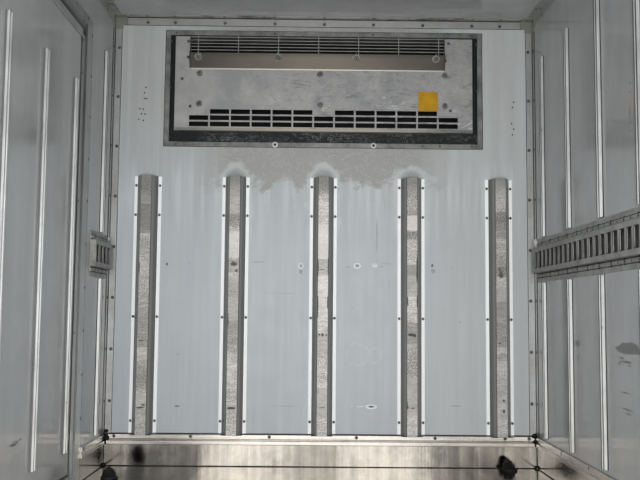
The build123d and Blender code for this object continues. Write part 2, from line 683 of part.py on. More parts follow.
def side_ribs():
    """Upright ribs on both side walls, in two lengths where a lashing rail runs between them."""
    near, far = DOORWAY_START - RIB_TO_DOORWAY, DOORWAY_START + DOORWAY_WIDTH + RIB_TO_DOORWAY
    shapes = []
    for side in (-1, 1):
        for k in range(RIB_COUNT):
            distance = RIB_FIRST + k * RIB_PITCH
            if side < 0 and near < distance < far:
                continue
            section = [(wall_point(side, out), y) for y, out in rib_section(depth_y(distance))]
            shapes.append(along_z(section, deck_z(RIB_BOTTOM), deck_z(RAIL_BOTTOM - RIB_TO_RAIL)))
            shapes.append(along_z(section, deck_z(RAIL_TOP + RIB_TO_RAIL), deck_z(RIB_TOP)))
    keep("side_wall_ribs", *shapes)


def front_ribs():
    """Five hat sections of folded sheet, which keep the load off the wall so that air returns behind it."""
    half, base, face, t = HAT_WIDTH / 2, HAT_BASE / 2, HAT_FACE / 2, HAT_SHEET
    inner = [(face - t / 2, HAT_DEPTH - t), (base - t, 0)]
    outer = [(half, 0), (half, t), (base, t), (face, HAT_DEPTH)]
    shapes = []
    for k in range(HAT_COUNT):
        x = HAT_OFFSET + (k - (HAT_COUNT - 1) / 2) * HAT_PITCH
        section = [(x + across, FRONT_Y - out) for across, out in both_halves(inner + outer)]
        shapes.append(along_z(section, deck_z(SKIRTING_TOP), deck_z(HAT_TOP)))
    keep("front_wall_ribs", *shapes)


def rail_section():
    """The rail's folded profile as (out, height) points."""
    low, high, t = RAIL_MIDDLE - RAIL_FACE / 2, RAIL_MIDDLE + RAIL_FACE / 2, RAIL_SHEET

    def bead(centre):
        return [(t, centre - BEAD_FOOT), (BEAD_PROUD, centre - BEAD_CREST), (BEAD_PROUD, centre + BEAD_CREST),
                (t, centre + BEAD_FOOT)]

    out, ease = RAIL_DEPTH, RAIL_EASE
    channel_face = [(out - ease, low), (out, low + ease), (out, high - ease), (out - ease, high)]
    outer = [(0, RAIL_BOTTOM), (t, RAIL_BOTTOM), *bead(low - BEAD_CENTRE), (t, low), *channel_face, (t, high),
             *bead(high + BEAD_CENTRE), (t, RAIL_TOP), (0, RAIL_TOP)]
    hollow = [(0, high - t), (out - t, high - t), (out - t, low + t), (0, low + t)]
    return outer + hollow


def lashing_rail(side, start, end):
    """One run of rail, slotted along its channel."""
    rail = along_y([(wall_point(side, out), deck_z(height)) for out, height in rail_section()],
                   depth_y(end), depth_y(start))
    first = ceil((start + SLOT_PITCH / 2 - SLOT_FIRST) / SLOT_PITCH)
    last = floor((end - SLOT_PITCH / 2 - SLOT_FIRST) / SLOT_PITCH)
    x0, x1, z = wall_point(side, RAIL_DEPTH), wall_point(side, RAIL_DEPTH - RAIL_SHEET), deck_z(RAIL_MIDDLE)
    for k in range(first, last + 1):
        y = depth_y(SLOT_FIRST + k * SLOT_PITCH)
        rail -= block(x0, x1, y - SLOT_WIDTH / 2, y + SLOT_WIDTH / 2, z - SLOT_HEIGHT / 2, z + SLOT_HEIGHT / 2)
    return rail


def lashing_rails():
    """One rail along the right wall and two on the left, before and behind the side doorway."""
    runs = ((1, RAIL_START, RAIL_END), (-1, RAIL_START, DOORWAY_START - RAIL_TO_DOORWAY),
            (-1, DOORWAY_START + DOORWAY_WIDTH + RAIL_TO_DOORWAY, RAIL_END))
    keep("lashing_rails", *[lashing_rail(*run) for run in runs])


def corner_trims():
    """Angles up the two front corners, each topped by a three-way corner block."""
    corner = angle(TRIM_LEG, TRIM_SHEET)
    b, arm, t = CORNER_BLOCK, CORNER_ARM, CORNER_SHEET
    trim = along_z([(HALF_IN - x, FRONT_Y - y) for x, y in corner], deck_z(SKIRTING_TOP), CEILING_Z - b)
    upright, along, across = [Box(*size, align=Align.MAX) for size in ((arm, arm, b), (arm, b, arm), (b, arm, arm))]
    hollow = Pos(-t, -t, -t) * Box(b, b, b, align=Align.MAX)
    cap = Pos(HALF_IN, FRONT_Y, CEILING_Z) * (upright + along + across - hollow)
    keep("corner_trims", trim + cap, mirrored(trim + cap))


def ceiling_trims():
    """Angles along the front and side edges of the ceiling, between the corner blocks."""
    section = angle(CEILING_TRIM_LEG, TRIM_SHEET)
    reach = HALF_IN - CORNER_BLOCK
    front = along_x([(FRONT_Y - out, CEILING_Z - down) for out, down in section], -reach, reach)
    side = [(HALF_IN - out, CEILING_Z - down) for out, down in section]
    right = along_y(side, FRAME_Y, FRONT_Y - CORNER_BLOCK)
    keep("ceiling_trims", front, right, mirrored(right))


def skirting():
    """The two-band moulding along the foot of the walls, over mirror-finished kick plates."""
    d, foot, top, ease = SKIRTING_DEPTH, KICK_HEIGHT, SKIRTING_TOP, SKIRTING_EASE
    low, high = [foot + height for height in SKIRTING_GROOVE]
    bed = d - SKIRTING_GROOVE_DEPTH
    profile = [(0, foot), (d, foot + ease), (d, low), (bed, low + ease), (bed, high - ease), (d, high),
               (d, top - ease), (0, top)]
    mouldings = [along_x([(FRONT_Y - out, deck_z(height)) for out, height in profile], -HALF_IN, HALF_IN)]
    plates = [block(-HALF_IN, HALF_IN, FRONT_Y - KICK_SHEET, FRONT_Y, FLOOR_Z, deck_z(foot))]
    for side, start, end in ((1, 0, WALL_LENGTH), (-1, 0, DOORWAY_FRONT), (-1, DOORWAY_BACK, WALL_LENGTH)):
        points = [(wall_point(side, out), deck_z(height)) for out, height in profile]
        mouldings.append(along_y(points, depth_y(end), depth_y(max(start, d))))
        plates.append(block(wall_point(side, 0), wall_point(side, KICK_SHEET), depth_y(end),
                            depth_y(max(start, KICK_SHEET)), FLOOR_Z, deck_z(foot)))
    keep("skirting_trims", *mouldings)
    keep("kick_plates", *plates)


def drain_plugs():
    """Rubber stoppers, each with a flange, a tapered body and a pull tab with cut corners."""
    body = outline([(0, 0), (PLUG_RADIUS, 0), (PLUG_RADIUS, PLUG_FLANGE), (PLUG_NECK_RADIUS, PLUG_HEIGHT),
                    (0, PLUG_HEIGHT)], Plane.XZ)
    half, top, bevel = PLUG_TAB_WIDTH / 2, PLUG_TAB_TOP, PLUG_TAB_BEVEL
    tab = outline(both_halves([(half, PLUG_HEIGHT), (half, top - bevel), (half - bevel, top)]), Plane.XZ)
    plug = revolve(body, Axis.Z) + extrude(tab, PLUG_TAB_SHEET / 2, both=True)
    keep("drain_plugs", *[Pos(x, depth_y(distance), FLOOR_Z) * plug for x, distance in PLUG_PLACES])


def evaporator():
    """The evaporator's lined opening, its folded and slotted cover, its rubber surround and its block."""
    hx, low, high, t = OPENING_HALF, deck_z(OPENING_BOTTOM), deck_z(OPENING_TOP), OPENING_SHEET
    w = OPENING_FLANGE
    frame = block(-hx - w, hx + w, FRONT_Y - t, FRONT_Y, low - w, high + w)
    frame += block(-hx - t, hx + t, FRONT_Y, NOSE_Y, low - t, high + t)
    keep("evaporator_frame", frame - block(-hx, hx, FRONT_Y - t, NOSE_Y, low, high))

    half, s = COVER_HALF, COVER_SHEET
    foot, top = deck_z(COVER_BOTTOM), deck_z(COVER_TOP)
    face = FRONT_Y - COVER_PROUD
    back = face + COVER_DEPTH
    lip = foot + COVER_LIP
    outer = [(back, foot), (face - COVER_LIP_FLARE, foot), (face, lip), (face, top), (back, top)]
    inner = [(back, foot + s), (face, foot + s), (face + s, lip), (face + s, top - s), (back, top - s)]
    cover = along_x(outer, -half, half) - along_x(inner, -half + s, half - s)
    cover -= block(OUTLET_LEFT, OUTLET_RIGHT, face, face + s, deck_z(OUTLET_BOTTOM), top - s)
    keep("evaporator_cover", cover - vents(face, face + s))

    y0, y1 = FRONT_Y + SEAL_SETBACK, FRONT_Y + SEAL_SETBACK + SEAL_THICKNESS
    seal = block(-hx, hx, y0, y1, low, high) - block(-half, half, y0, y1, foot, top)
    bead = block((half + hx - SEAL_BEAD) / 2, (half + hx + SEAL_BEAD) / 2, y0 - SEAL_BEAD, y0, low, high)
    keep("evaporator_seal", seal + bead + mirrored(bead))
    keep("evaporator_block", block(-half, half, back, NOSE_Y + EVAPORATOR_REACH, foot, top))


def vents(y0, y1):
    """The cover's return slots: two full rows, and a third that misses its middle and end columns."""
    last = (VENT_COLUMNS - 1) // 2
    cuts = []
    for row in range(3):
        z = deck_z(VENT_BOTTOM + row * VENT_ROW_PITCH)
        for column in range(-last, last + 1):
            if row == 2 and abs(column) in (0, last):
                continue
            x = column * VENT_PITCH
            cuts.append(block(x - VENT_WIDTH / 2, x + VENT_WIDTH / 2, y0, y1, z, z + VENT_HEIGHT))
    return cuts


def outlet():
    """The air outlet: a leaning deflector plate with closed ends, under a guard of slats and wires."""
    face = FRONT_Y - COVER_PROUD
    crest = face - OUTLET_PROUD
    low, rim, high = deck_z(OUTLET_BOTTOM), deck_z(DEFLECTOR_TOP), deck_z(COVER_TOP) - COVER_SHEET
    s = DEFLECTOR_SHEET
    lean = [(face, low), (crest, rim), (crest + s, rim), (face, low + 2 * s)]
    plate = along_x(lean, OUTLET_LEFT, OUTLET_RIGHT)
    cheek = [(face, low), (crest, rim), (crest, high), (face, high)]
    for edge, inner in ((OUTLET_LEFT, OUTLET_LEFT + s), (OUTLET_RIGHT - s, OUTLET_RIGHT)):
        plate += along_x(cheek, edge, inner)
    keep("outlet_deflector", plate)

    left, right = OUTLET_LEFT + s + SLAT_END_GAP, OUTLET_RIGHT - s - SLAT_END_GAP
    front = crest + WIRE_WIDTH
    wires = [block(x - WIRE_WIDTH / 2, x + WIRE_WIDTH / 2, crest, front, rim, high)
             for x in (WIRE_FIRST + k * WIRE_PITCH for k in range(WIRE_COUNT))]
    slats = [block(left, right, front, front + SLAT_DEPTH, z - SLAT_HEIGHT / 2, z + SLAT_HEIGHT / 2)
             for z in (deck_z(SLAT_FIRST + k * SLAT_PITCH) for k in range(SLAT_COUNT))]
    keep("outlet_grille", slats[0] + wires + slats[1:])


def ceiling_lamp():
    """An oblong lamp on the ceiling: a flat base and a dome with rounded edges."""
    place = Pos(0, depth_y(LAMP_DISTANCE), CEILING_Z)
    base = place * Pos(0, 0, -LAMP_BASE / 2) * Box(LAMP_WIDTH, LAMP_LENGTH, LAMP_BASE)
    width, length = LAMP_WIDTH - 2 * LAMP_RIM, LAMP_LENGTH - 2 * LAMP_RIM
    dome = place * Pos(0, 0, -LAMP_BASE - LAMP_DOME / 2) * Box(width, length, LAMP_DOME)
    keep("ceiling_lamp", base + fillet(dome.faces().sort_by(Axis.Z)[0].edges(), LAMP_EDGE))


def nose_form(inset):
    """The nose housing's outer form, drawn in by inset, and its two front upright edges."""
    z0, z1 = deck_z(NOSE_BOTTOM) + inset, deck_z(NOSE_TOP) - inset
    y1, half = NOSE_Y + NOSE_DEPTH - inset, NOSE_HALF - inset
    side = [(NOSE_Y, z0), (NOSE_Y, z1), (NOSE_Y + NOSE_ROOF, z1), (y1, z1 - NOSE_BROW), (y1, z0 + NOSE_CHIN),
            (y1 - NOSE_CHIN, z0)]
    form = along_x(side, -half, half)
    return form, form.edges().filter_by(Axis.Z).group_by(Axis.Y)[-1]


def nose_unit():
    """The condenser unit: a folded housing with louvres and two fan openings, its coil, fans and guards."""
    face_y = NOSE_Y + NOSE_DEPTH
    outer, corners = nose_form(0)
    hollow, hollow_corners = nose_form(NOSE_SHEET)
    shell = fillet(corners, NOSE_CORNER) - chamfer(hollow_corners, NOSE_CORNER - NOSE_SHEET)
    for k in range(LOUVRE_COUNT):
        z = deck_z(NOSE_BOTTOM) + LOUVRE_FIRST + k * LOUVRE_PITCH
        shell -= block(-NOSE_HALF, NOSE_HALF, NOSE_Y + LOUVRE_START, NOSE_Y + LOUVRE_START + LOUVRE_LENGTH, z,
                       z + LOUVRE_HEIGHT)
    cheek = NOSE_HALF - NOSE_SHEET - COIL_TO_CHEEK
    keep("condenser_coil", block(-cheek, cheek, NOSE_Y + COIL_START, NOSE_Y + COIL_START + COIL_THICKNESS,
                                 deck_z(NOSE_BOTTOM) + COIL_BOTTOM, deck_z(NOSE_TOP) - COIL_TOP))
    guards = []
    for side, word in ((-1, "left"), (1, "right")):
        axis = Pos(side * FAN_SPACING / 2, face_y, deck_z(FAN_HEIGHT)) * Rot(90, 0, 0)
        shell -= axis * Cylinder(FAN_OPENING, 4 * NOSE_SHEET)
        guards += [axis * Pos(0, 0, -GUARD_WIRE / 2) * wire for wire in fan_guard()]
        keep("condenser_fan_" + word, axis * Pos(0, 0, FAN_SETBACK) * fan_rotor())
    keep("condenser_housing", shell)
    keep("fan_guards", *guards)


def fan_guard():
    """Upright wires over a fan opening, each as long as the circle is there, with its ends on the housing."""
    reach = FAN_OPENING + GUARD_OVERRUN
    places = [(k - (GUARD_COUNT - 1) / 2) * GUARD_PITCH for k in range(GUARD_COUNT)]
    return [Pos(x, 0) * Box(GUARD_WIRE, 2 * (reach**2 - x**2) ** 0.5, GUARD_WIRE) for x in places]


def fan_rotor():
    """A five-sided hub with a pressed, pitched blade on each side and a round cap, turning about +Z."""
    half, near, far, trim = BLADE_CHORD / 2, FAN_RADIUS - BLADE_TRIM, FAN_RADIUS, BLADE_TRIM
    edge = [(BLADE_ROOT, half - trim), (near, half), (far, half - trim)]
    blade = outline(edge + [(x, -y) for x, y in reversed(edge)], Plane.XY)
    pitched = Rot(BLADE_PITCH, 0, 0) * extrude(blade, BLADE_SHEET / 2, both=True)
    hub = extrude(RegularPolygon(FAN_HUB, FAN_BLADES, rotation=36), FAN_DEPTH / 2, both=True)
    cap = Pos(0, 0, -(FAN_DEPTH + FAN_CAP_HEIGHT) / 2) * Cylinder(FAN_CAP, FAN_CAP_HEIGHT)
    return hub + cap + [Rot(0, 0, 360 / FAN_BLADES * k) * pitched for k in range(FAN_BLADES)]


def lamps_and_buffers():
    """Marker lamps with bevelled lenses on the lower side rails, and two rubber buffers under the doors."""
    out = HALF_OUT + LOWER_RAIL_SHEET
    lamps = []
    for k in range(MARKER_COUNT):
        middle = depth_y(MARKER_FIRST + k * MARKER_PITCH)
        lamp = block(out, out + MARKER_PROUD, middle - MARKER_LENGTH / 2, middle + MARKER_LENGTH / 2,
                     MARKER_BOTTOM, MARKER_TOP)
        lamp = chamfer(lamp.faces().sort_by(Axis.X)[-1].edges(), MARKER_BEVEL)
        lamps += [lamp, mirrored(lamp)]
    keep("side_marker_lamps", *lamps)
    buffer = block(BUFFER_START, BUFFER_START + BUFFER_LENGTH, REAR_Y - BUFFER_PROUD, REAR_Y, BUFFER_BOTTOM,
                   BUFFER_TOP)
    buffer = chamfer(buffer.faces().sort_by(Axis.Y)[0].edges(), BUFFER_BEVEL)
    keep("rear_buffers", buffer, mirrored(buffer))


def build():
    underframe()
    panels()
    outer_edges()
    rear_frame()
    rear_doors()
    rear_fittings()
    side_doorway()
    side_door()
    side_hardware()
    side_ribs()
    front_ribs()
    lashing_rails()
    corner_trims()
    ceiling_trims()
    skirting()
    drain_plugs()
    evaporator()
    outlet()
    ceiling_lamp()
    nose_unit()
    lamps_and_buffers()
    os.makedirs("parts", exist_ok=True)
    for name, shape in PARTS.items():
        export_step(shape, f"parts/{name}.step")


build()
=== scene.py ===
"""Finishes and small fittings for an insulated load body, laid out as an add-on and run as a script.

Lengths are metres in the part's frame. A place on a wall is written in millimetres, as its distance across or behind
the front wall and its height above the deck.
"""

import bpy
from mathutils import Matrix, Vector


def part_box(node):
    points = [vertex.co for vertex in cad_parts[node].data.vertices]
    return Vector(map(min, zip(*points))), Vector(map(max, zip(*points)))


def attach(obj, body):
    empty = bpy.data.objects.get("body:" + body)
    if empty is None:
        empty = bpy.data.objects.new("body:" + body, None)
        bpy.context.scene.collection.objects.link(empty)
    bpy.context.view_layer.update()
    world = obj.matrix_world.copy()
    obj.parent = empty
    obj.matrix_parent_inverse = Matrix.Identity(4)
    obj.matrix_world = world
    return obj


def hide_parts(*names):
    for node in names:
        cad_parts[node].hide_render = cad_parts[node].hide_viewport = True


bl_info = {
    "name": "Insulated Load Body",
    "version": (1, 0, 0),
    "blender": (4, 5, 0),
    "location": "View3D > Sidebar > Load Body",
    "description": "Finishes, rivets, screws, sealant and small fittings for an insulated load body",
    "category": "Object",
}

from functools import partial
from math import cos, pi, radians, sin
from random import Random

import bpy
from mathutils import Matrix, Vector

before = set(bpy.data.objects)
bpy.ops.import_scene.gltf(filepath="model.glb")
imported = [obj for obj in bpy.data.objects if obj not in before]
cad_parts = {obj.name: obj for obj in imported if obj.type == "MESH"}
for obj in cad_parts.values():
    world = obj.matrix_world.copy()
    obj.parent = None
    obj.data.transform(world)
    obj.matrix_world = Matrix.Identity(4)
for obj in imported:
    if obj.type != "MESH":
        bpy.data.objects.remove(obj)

MM = 0.001
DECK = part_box("floor_plate")[1].z
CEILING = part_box("roof_panel")[0].z
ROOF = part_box("roof_panel")[1].z
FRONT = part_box("floor_plate")[1].y
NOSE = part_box("front_wall")[1].y
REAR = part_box("rear_frame")[0].y
HALF_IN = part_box("floor_plate")[1].x
HALF_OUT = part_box("right_wall")[1].x
RIB_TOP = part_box("front_wall_ribs")[1].z
COVER_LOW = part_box("evaporator_cover")[0]
GRILLE_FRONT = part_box("outlet_grille")[0].y
PLUG_LOW, PLUG_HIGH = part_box("drain_plugs")

# The finishes of a rivet's head and of the grime round it
RIVET_LOOK = ["greyed_rivet_aluminium", "grime_and_painted_shade"]

# Directions that a fitting can point in
INWARD = (0, -1, 0)
UPWARD = (0, 0, 1)
DOWNWARD = (0, 0, -1)

# Millimetres on the walls: the hat ribs, lines of rivets by their height or distance, the rails and the side ribs
HAT_PITCH = 346
HAT_MIDDLES = [2.5 + HAT_PITCH * k for k in (-2, -1, 0, 1, 2)]
HAT_DEPTH = 45
HAT_RIVETS = 46.5
SKIRTING_RIVETS = 113.5
CEILING_RIVETS = 1746
CORNER_RIVETS = 818
RAIL_MIDDLE = 799
RAIL_LIPS = (740.5, 857.5)
RAIL_RUNS = ((1, 45, 2985), (-1, 45, 299), (-1, 1519, 2985))
SLOT_FIRST = 104.5
SLOT_PITCH = 54.7
RIB_FIRST = 147
RIB_PITCH = 328
RIB_SPANS = ((135, 712), (886, 1580))
DEFLECTOR_SCREWS = (-500, -184, 128, 445)
RIVETS_ALONG = range(150, 3000, 200)
COVER_FACE = 5

# Metres: the drain plugs, the nose unit's fans and louvres, and the rear doors' pins beyond the walls and the frame
PLUG_RADIUS = 0.031
FAN_MIDDLE = 0.29
FAN_SCREWS = 0.186
LOUVRE_FOOT = 0.13
LOUVRE_PITCH = 0.048
LOUVRE_ENDS = (NOSE + 0.0905, NOSE + 0.2495)
PIN_OUT = 0.022
PIN_AHEAD = 0.038

# The camera in the rear opening: a lens in millimetres, its place, and its yaw, tilt and roll from looking forward
CAMERA_LENS = 49.43
CAMERA_AT = (-0.0419, -2.0795, 0.8593)
CAMERA_TURNS = ((-0.53, "Z"), (4.83, "X"), (-0.5, "Y"), (90, "X"))

# Finishes and tones that the marks use
BLACK, SIDE, GREY, PALE = "black_scuff", "side_scuff", "grey_scuff", "pale_scuff"
GRIME, SHINE, BRIGHT = "#5E5F5C", "#EDEAE6", "#F0EDE9"
# Old scuffs on the front wall: across, height, width and height of the mark, and its tone
FRONT_SCUFFS = [
    (-609, 777, 8, 16, BLACK), (-557, 228, 26, 6, BLACK), (-558, 428, 9, 6, GREY), (-155, 667, 150, 2.4, GREY),
    (-142, 231, 130, 3, GREY), (432, 781, 9, 16, BLACK), (436, 758, 20, 22, GREY), (523, 236, 60, 5, GREY),
    (194, 231, 22, 7, BLACK), (206, 779, 26, 20, PALE), (-84, 752, 16, 22, GREY), (100, 772, 26, 5, GREY),
    (232, 774, 18, 5, GREY), (137, 777, 16, 14, GREY), (-84, 775, 10, 12, GREY), (-253, 788, 60, 4, GREY),
    (-620, 790, 5, 5, GREY), (250, 786, 50, 3, GREY), (-520, 780, 4, 9, GREY), (540, 560, 5, 4, BLACK),
    (510, 770, 4, 9, GREY), (-330, 1205, 70, 5, GREY), (40, 1222, 120, 6, GREY), (150, 1190, 60, 4, GREY),
    (-60, 1180, 46, 4, GREY), (260, 1210, 90, 5, GREY), (-200, 1165, 30, 4, GREY), (-700, 1560, 3, 22, GREY),
    (214, 890, 5, 170, GREY), (150, 231, 40, 4, PALE), (120, 233, 9, 6, PALE), (118, 612, 6, 6, GREY)
]
# The same on the side walls: side, distance behind the front wall, height, width, height and tone
SIDE_SCUFFS = [
    (1, 531, 499, 72, 26, SIDE), (1, 540, 457, 24, 12, SIDE), (1, 1005, 499, 250, 44, SIDE),
    (1, 983, 461, 120, 8, SIDE), (1, 1010, 452, 50, 6, SIDE), (1, 949, 470, 40, 9, SIDE), (1, 930, 455, 20, 14, SIDE),
    (1, 970, 375, 80, 5, SIDE), (1, 985, 330, 90, 6, SIDE), (1, 990, 318, 60, 6, SIDE), (1, 1058, 1234, 12, 9, BLACK),
    (1, 1057, 1209, 9, 7, BLACK), (1, 1052, 1155, 12, 40, SIDE), (1, 1052, 1125, 9, 7, BLACK),
    (1, 1051, 1100, 8, 7, BLACK), (-1, 1040, 228, 60, 5, BLACK), (-1, 1010, 232, 26, 12, SIDE),
    (-1, 980, 236, 14, 8, BLACK)
]
# Tyre and box rubs on the hat ribs' faces: the rib, height, offset, width and height
HAT_SCUFFS = [
    (2, 765, -20, 7, 92), (2, 770, 20, 6, 80), (2, 630, -19, 6, 70), (2, 630, 19, 6, 70), (2, 590, -20, 7, 50),
    (2, 759, -4, 30, 3), (2, 508, -12, 9, 10), (2, 508, 0, 12, 16), (2, 507, 14, 9, 9), (2, 232, 0, 34, 3),
    (3, 778, 19, 7, 90), (3, 740, 18, 6, 60), (3, 640, -18, 6, 50), (3, 640, 19, 6, 60), (3, 510, -4, 34, 14),
    (3, 507, 10, 14, 20), (3, 233, -17, 8, 16), (3, 231, 0, 22, 6), (3, 243, -19, 4, 40), (4, 745, -2, 22, 34),
    (4, 765, -6, 10, 20), (4, 480, -8, 12, 10), (4, 262, 5, 12, 12), (4, 222, 6, 14, 16), (1, 778, 0, 32, 22),
    (1, 752, 10, 12, 16), (1, 226, 0, 38, 12), (1, 560, -18, 5, 70), (0, 226, -2, 36, 9), (0, 236, 8, 20, 8),
    (0, 480, -4, 26, 5), (0, 760, -18, 4, 60)
]
# Grime and shine that boxes of one height left across a rib: the rib, bottom, top, how strong, and tone
HAT_BANDS = [
    (0, 455, 610, 0.42, GRIME), (0, 895, 1010, 0.6, GRIME), (0, 1010, 1140, 0.3, GRIME), (1, 465, 560, 0.4, GRIME),
    (1, 745, 795, 0.35, GRIME), (1, 800, 905, 0.5, SHINE), (1, 925, 970, 0.4, GRIME), (2, 800, 935, 0.55, BRIGHT),
    (2, 560, 740, 0.3, BRIGHT), (3, 475, 555, 0.4, GRIME), (3, 738, 778, 0.4, GRIME), (3, 880, 908, 0.5, GRIME),
    (3, 914, 972, 0.65, SHINE), (3, 1010, 1128, 0.25, GRIME), (4, 412, 440, 0.4, GRIME), (4, 465, 640, 0.4, GRIME),
    (4, 735, 775, 0.55, GRIME), (4, 885, 990, 0.5, GRIME)
]
# Darker places near the front wall on the kick plates and the deck: middle, half the width, and how strong
KICK_DARK_PATCHES = [
    (-800, 40, 0.3), (-705, 32, 0.72), (-600, 60, 0.4), (-505, 38, 0.6), (-20, 78, 0.42), (455, 24, 0.4),
    (520, 22, 0.5), (580, 20, 0.45), (665, 42, 0.5), (780, 34, 0.35)
]
DECK_DARK_PATCHES = [
    (-800, 40, 0.3), (-705, 40, 0.72), (-600, 60, 0.5), (-505, 44, 0.62), (520, 60, 0.3), (665, 42, 0.5),
    (780, 34, 0.35)
]
# Holes that old fittings left in the front wall: across and height
OLD_HOLES = [
    (-709, 1481), (-714, 1459), (-713, 1436), (-705, 1436), (-731, 1395), (-717, 1393), (-724, 1374), (-710, 1373),
    (-734, 1352), (-716, 1348), (759, 1437), (754, 1416), (750, 1350), (758, 1328), (753, 1305)
]


def linear(code):
    """An sRGB hex colour as linear red, green, blue and alpha."""
    parts = [int(code[k:k + 2], 16) / 255 for k in (1, 3, 5)]
    return tuple([v / 12.92 if v <= 0.04045 else ((v + 0.055) / 1.055) ** 2.4 for v in parts] + [1.0])


def on_front(across, height, out=0.0):
    """A point of the front wall, from its millimetres."""
    return Vector((across * MM, FRONT - out * MM, DECK + height * MM))


def on_side(side, distance, height, out=0.0):
    """A point of a side wall, from its millimetres."""
    return Vector((side * (HALF_IN - out * MM), FRONT - distance * MM, DECK + height * MM))


# Materials: each tree is built by add(), and the functions after it name the steps that paint and wear share
def add(tree, kind, settings=None, inputs=None):
    """Adds a shader node with its own settings, and with numbers, hex colours or links for its inputs."""
    made = tree.nodes.new("ShaderNode" + kind)
    for name, value in (settings or {}).items():
        setattr(made, name, value)
    for name, value in (inputs or {}).items():
        if isinstance(value, bpy.types.NodeSocket):
            tree.links.new(value, made.inputs[name])
        else:
            made.inputs[name].default_value = linear(value) if isinstance(value, str) else value
    return made.outputs


def new_finish(name, **sockets):
    """A new material with its shader's sockets set, its tree and its shader."""
    made = bpy.data.materials.new(name)
    made.use_nodes = True
    shader = made.node_tree.nodes["Principled BSDF"]
    for socket, value in sockets.items():
        shader.inputs[socket.replace("_", " ")].default_value = value
    return made, made.node_tree, shader


def place(tree, stretch=(1, 1, 1)):
    """The object's own coordinates in metres, stretched along its axes."""
    at = add(tree, "TexCoord")["Object"]
    return add(tree, "Mapping", None, {"Vector": at, "Scale": stretch})[0]


def axes(tree):
    """How far across, how far forward and how high a point of the surface is."""
    return add(tree, "SeparateXYZ", None, {"Vector": place(tree)})


def pattern(tree, scale, detail=2.0, rough=0.5, bend=0.0, stretch=(1, 1, 1)):
    """Noise laid over the object's own metres."""
    return add(tree, "TexNoise", None, {"Vector": place(tree, stretch), "Scale": scale, "Detail": detail,
                                        "Roughness": rough, "Distortion": bend})[0]


def gap(tree, value, middle):
    """How far a value is from a middle, on either side."""
    off = add(tree, "Math", {"operation": "SUBTRACT"}, {0: value, 1: middle})[0]
    return add(tree, "Math", {"operation": "ABSOLUTE"}, {0: off})[0]


def mask(tree, *ramps):
    """The product of outputs and ramps. A ramp is a value, where it starts and ends, and what it reaches or spans."""
    product = None
    for ramp in ramps:
        if isinstance(ramp, tuple):
            value, low, high, *levels = ramp
            start, end = ((0.0, 1.0), (0.0, *levels), levels)[len(levels)]
            ramp = add(tree, "MapRange", None, {"Value": value, "From Min": low, "From Max": high, "To Min": start,
                                                "To Max": end})[0]
        if product is not None:
            ramp = add(tree, "Math", {"operation": "MULTIPLY"}, {0: product, 1: ramp})[0]
        product = ramp
    return product


def layered(tree, colour, *layers):
    """A colour under layers, each of them a tint and the ramps whose product is how strongly it shows."""
    for tint, *ramps in layers:
        colour = add(tree, "Mix", {"data_type": "RGBA"}, {0: mask(tree, *ramps), 6: colour, 7: tint})[2]
    return colour


def dress(tree, shader, colour, gloss=None, relief=None, metal=None):
    """Gives a shader its colour, ramps for its roughness and metal, and a height with its relief in millimetres."""
    sources = {"Base Color": colour}
    if gloss:
        sources["Roughness"] = mask(tree, gloss)
    if metal:
        sources["Metallic"] = mask(tree, metal)
    if relief:
        sources["Normal"] = add(tree, "Bump", None, {"Strength": 1.0, "Distance": relief[1] * MM,
                                                     "Height": relief[0]})[0]
    for socket, source in sources.items():
        tree.links.new(source, shader.inputs[socket])


def grained(name, dark, light, metallic, rough, grain, relief, blotch=260.0, stretch=(1, 1, 1)):
    """A finish with a fine grain in millimetres, its relief, and a slower blotch in its colour and gloss."""
    made, tree, shader = new_finish(name, Metallic=metallic)
    fine = pattern(tree, 1000 / grain, 4.0, 0.6, stretch=stretch)
    slow = pattern(tree, 1000 / blotch, 5.0)
    both = add(tree, "Math", {"operation": "MULTIPLY_ADD"}, {0: fine, 1: 0.45, 2: slow})[0]
    colour = layered(tree, dark, (light, (both, 0.52, 0.95)))
    dress(tree, shader, colour, (both, 0.5, 1.0, *rough), (fine, relief))
    return made


def coil_coated_steel():
    """Coil-coated steel skin: a roller-laid paint film, so it is even, semi-gloss and faintly streaked upwards."""
    look = bpy.context.scene.load_body
    made, tree, shader = new_finish("coil_coated_steel", IOR=1.5)
    smear = pattern(tree, 3.2, 6.0, 0.62)
    streak = pattern(tree, 1.6, 4.0, stretch=(9, 9, 0.7))
    both = add(tree, "Math", {"operation": "MULTIPLY_ADD"}, {0: streak, 1: 0.5, 2: smear})[0]
    colour = layered(tree, "#9A9C9D", ((*look.panel_colour, 1), (both, 0.5, 1.0)),
                     ("#6B6C6B", (pattern(tree, 46.0, 5.0, 0.7), 0.7, 0.75, 0.5)))
    # The film's orange peel is about 2 mm across, drawn at 8 mm so that it shows
    sheet = add(tree, "Math", {"operation": "MULTIPLY_ADD"}, {0: smear, 1: 6.0, 2: pattern(tree, 125.0)})[0]
    dress(tree, shader, colour, (smear, 0.35, 0.7, 0.09, 0.2), (sheet, 0.06))
    return made


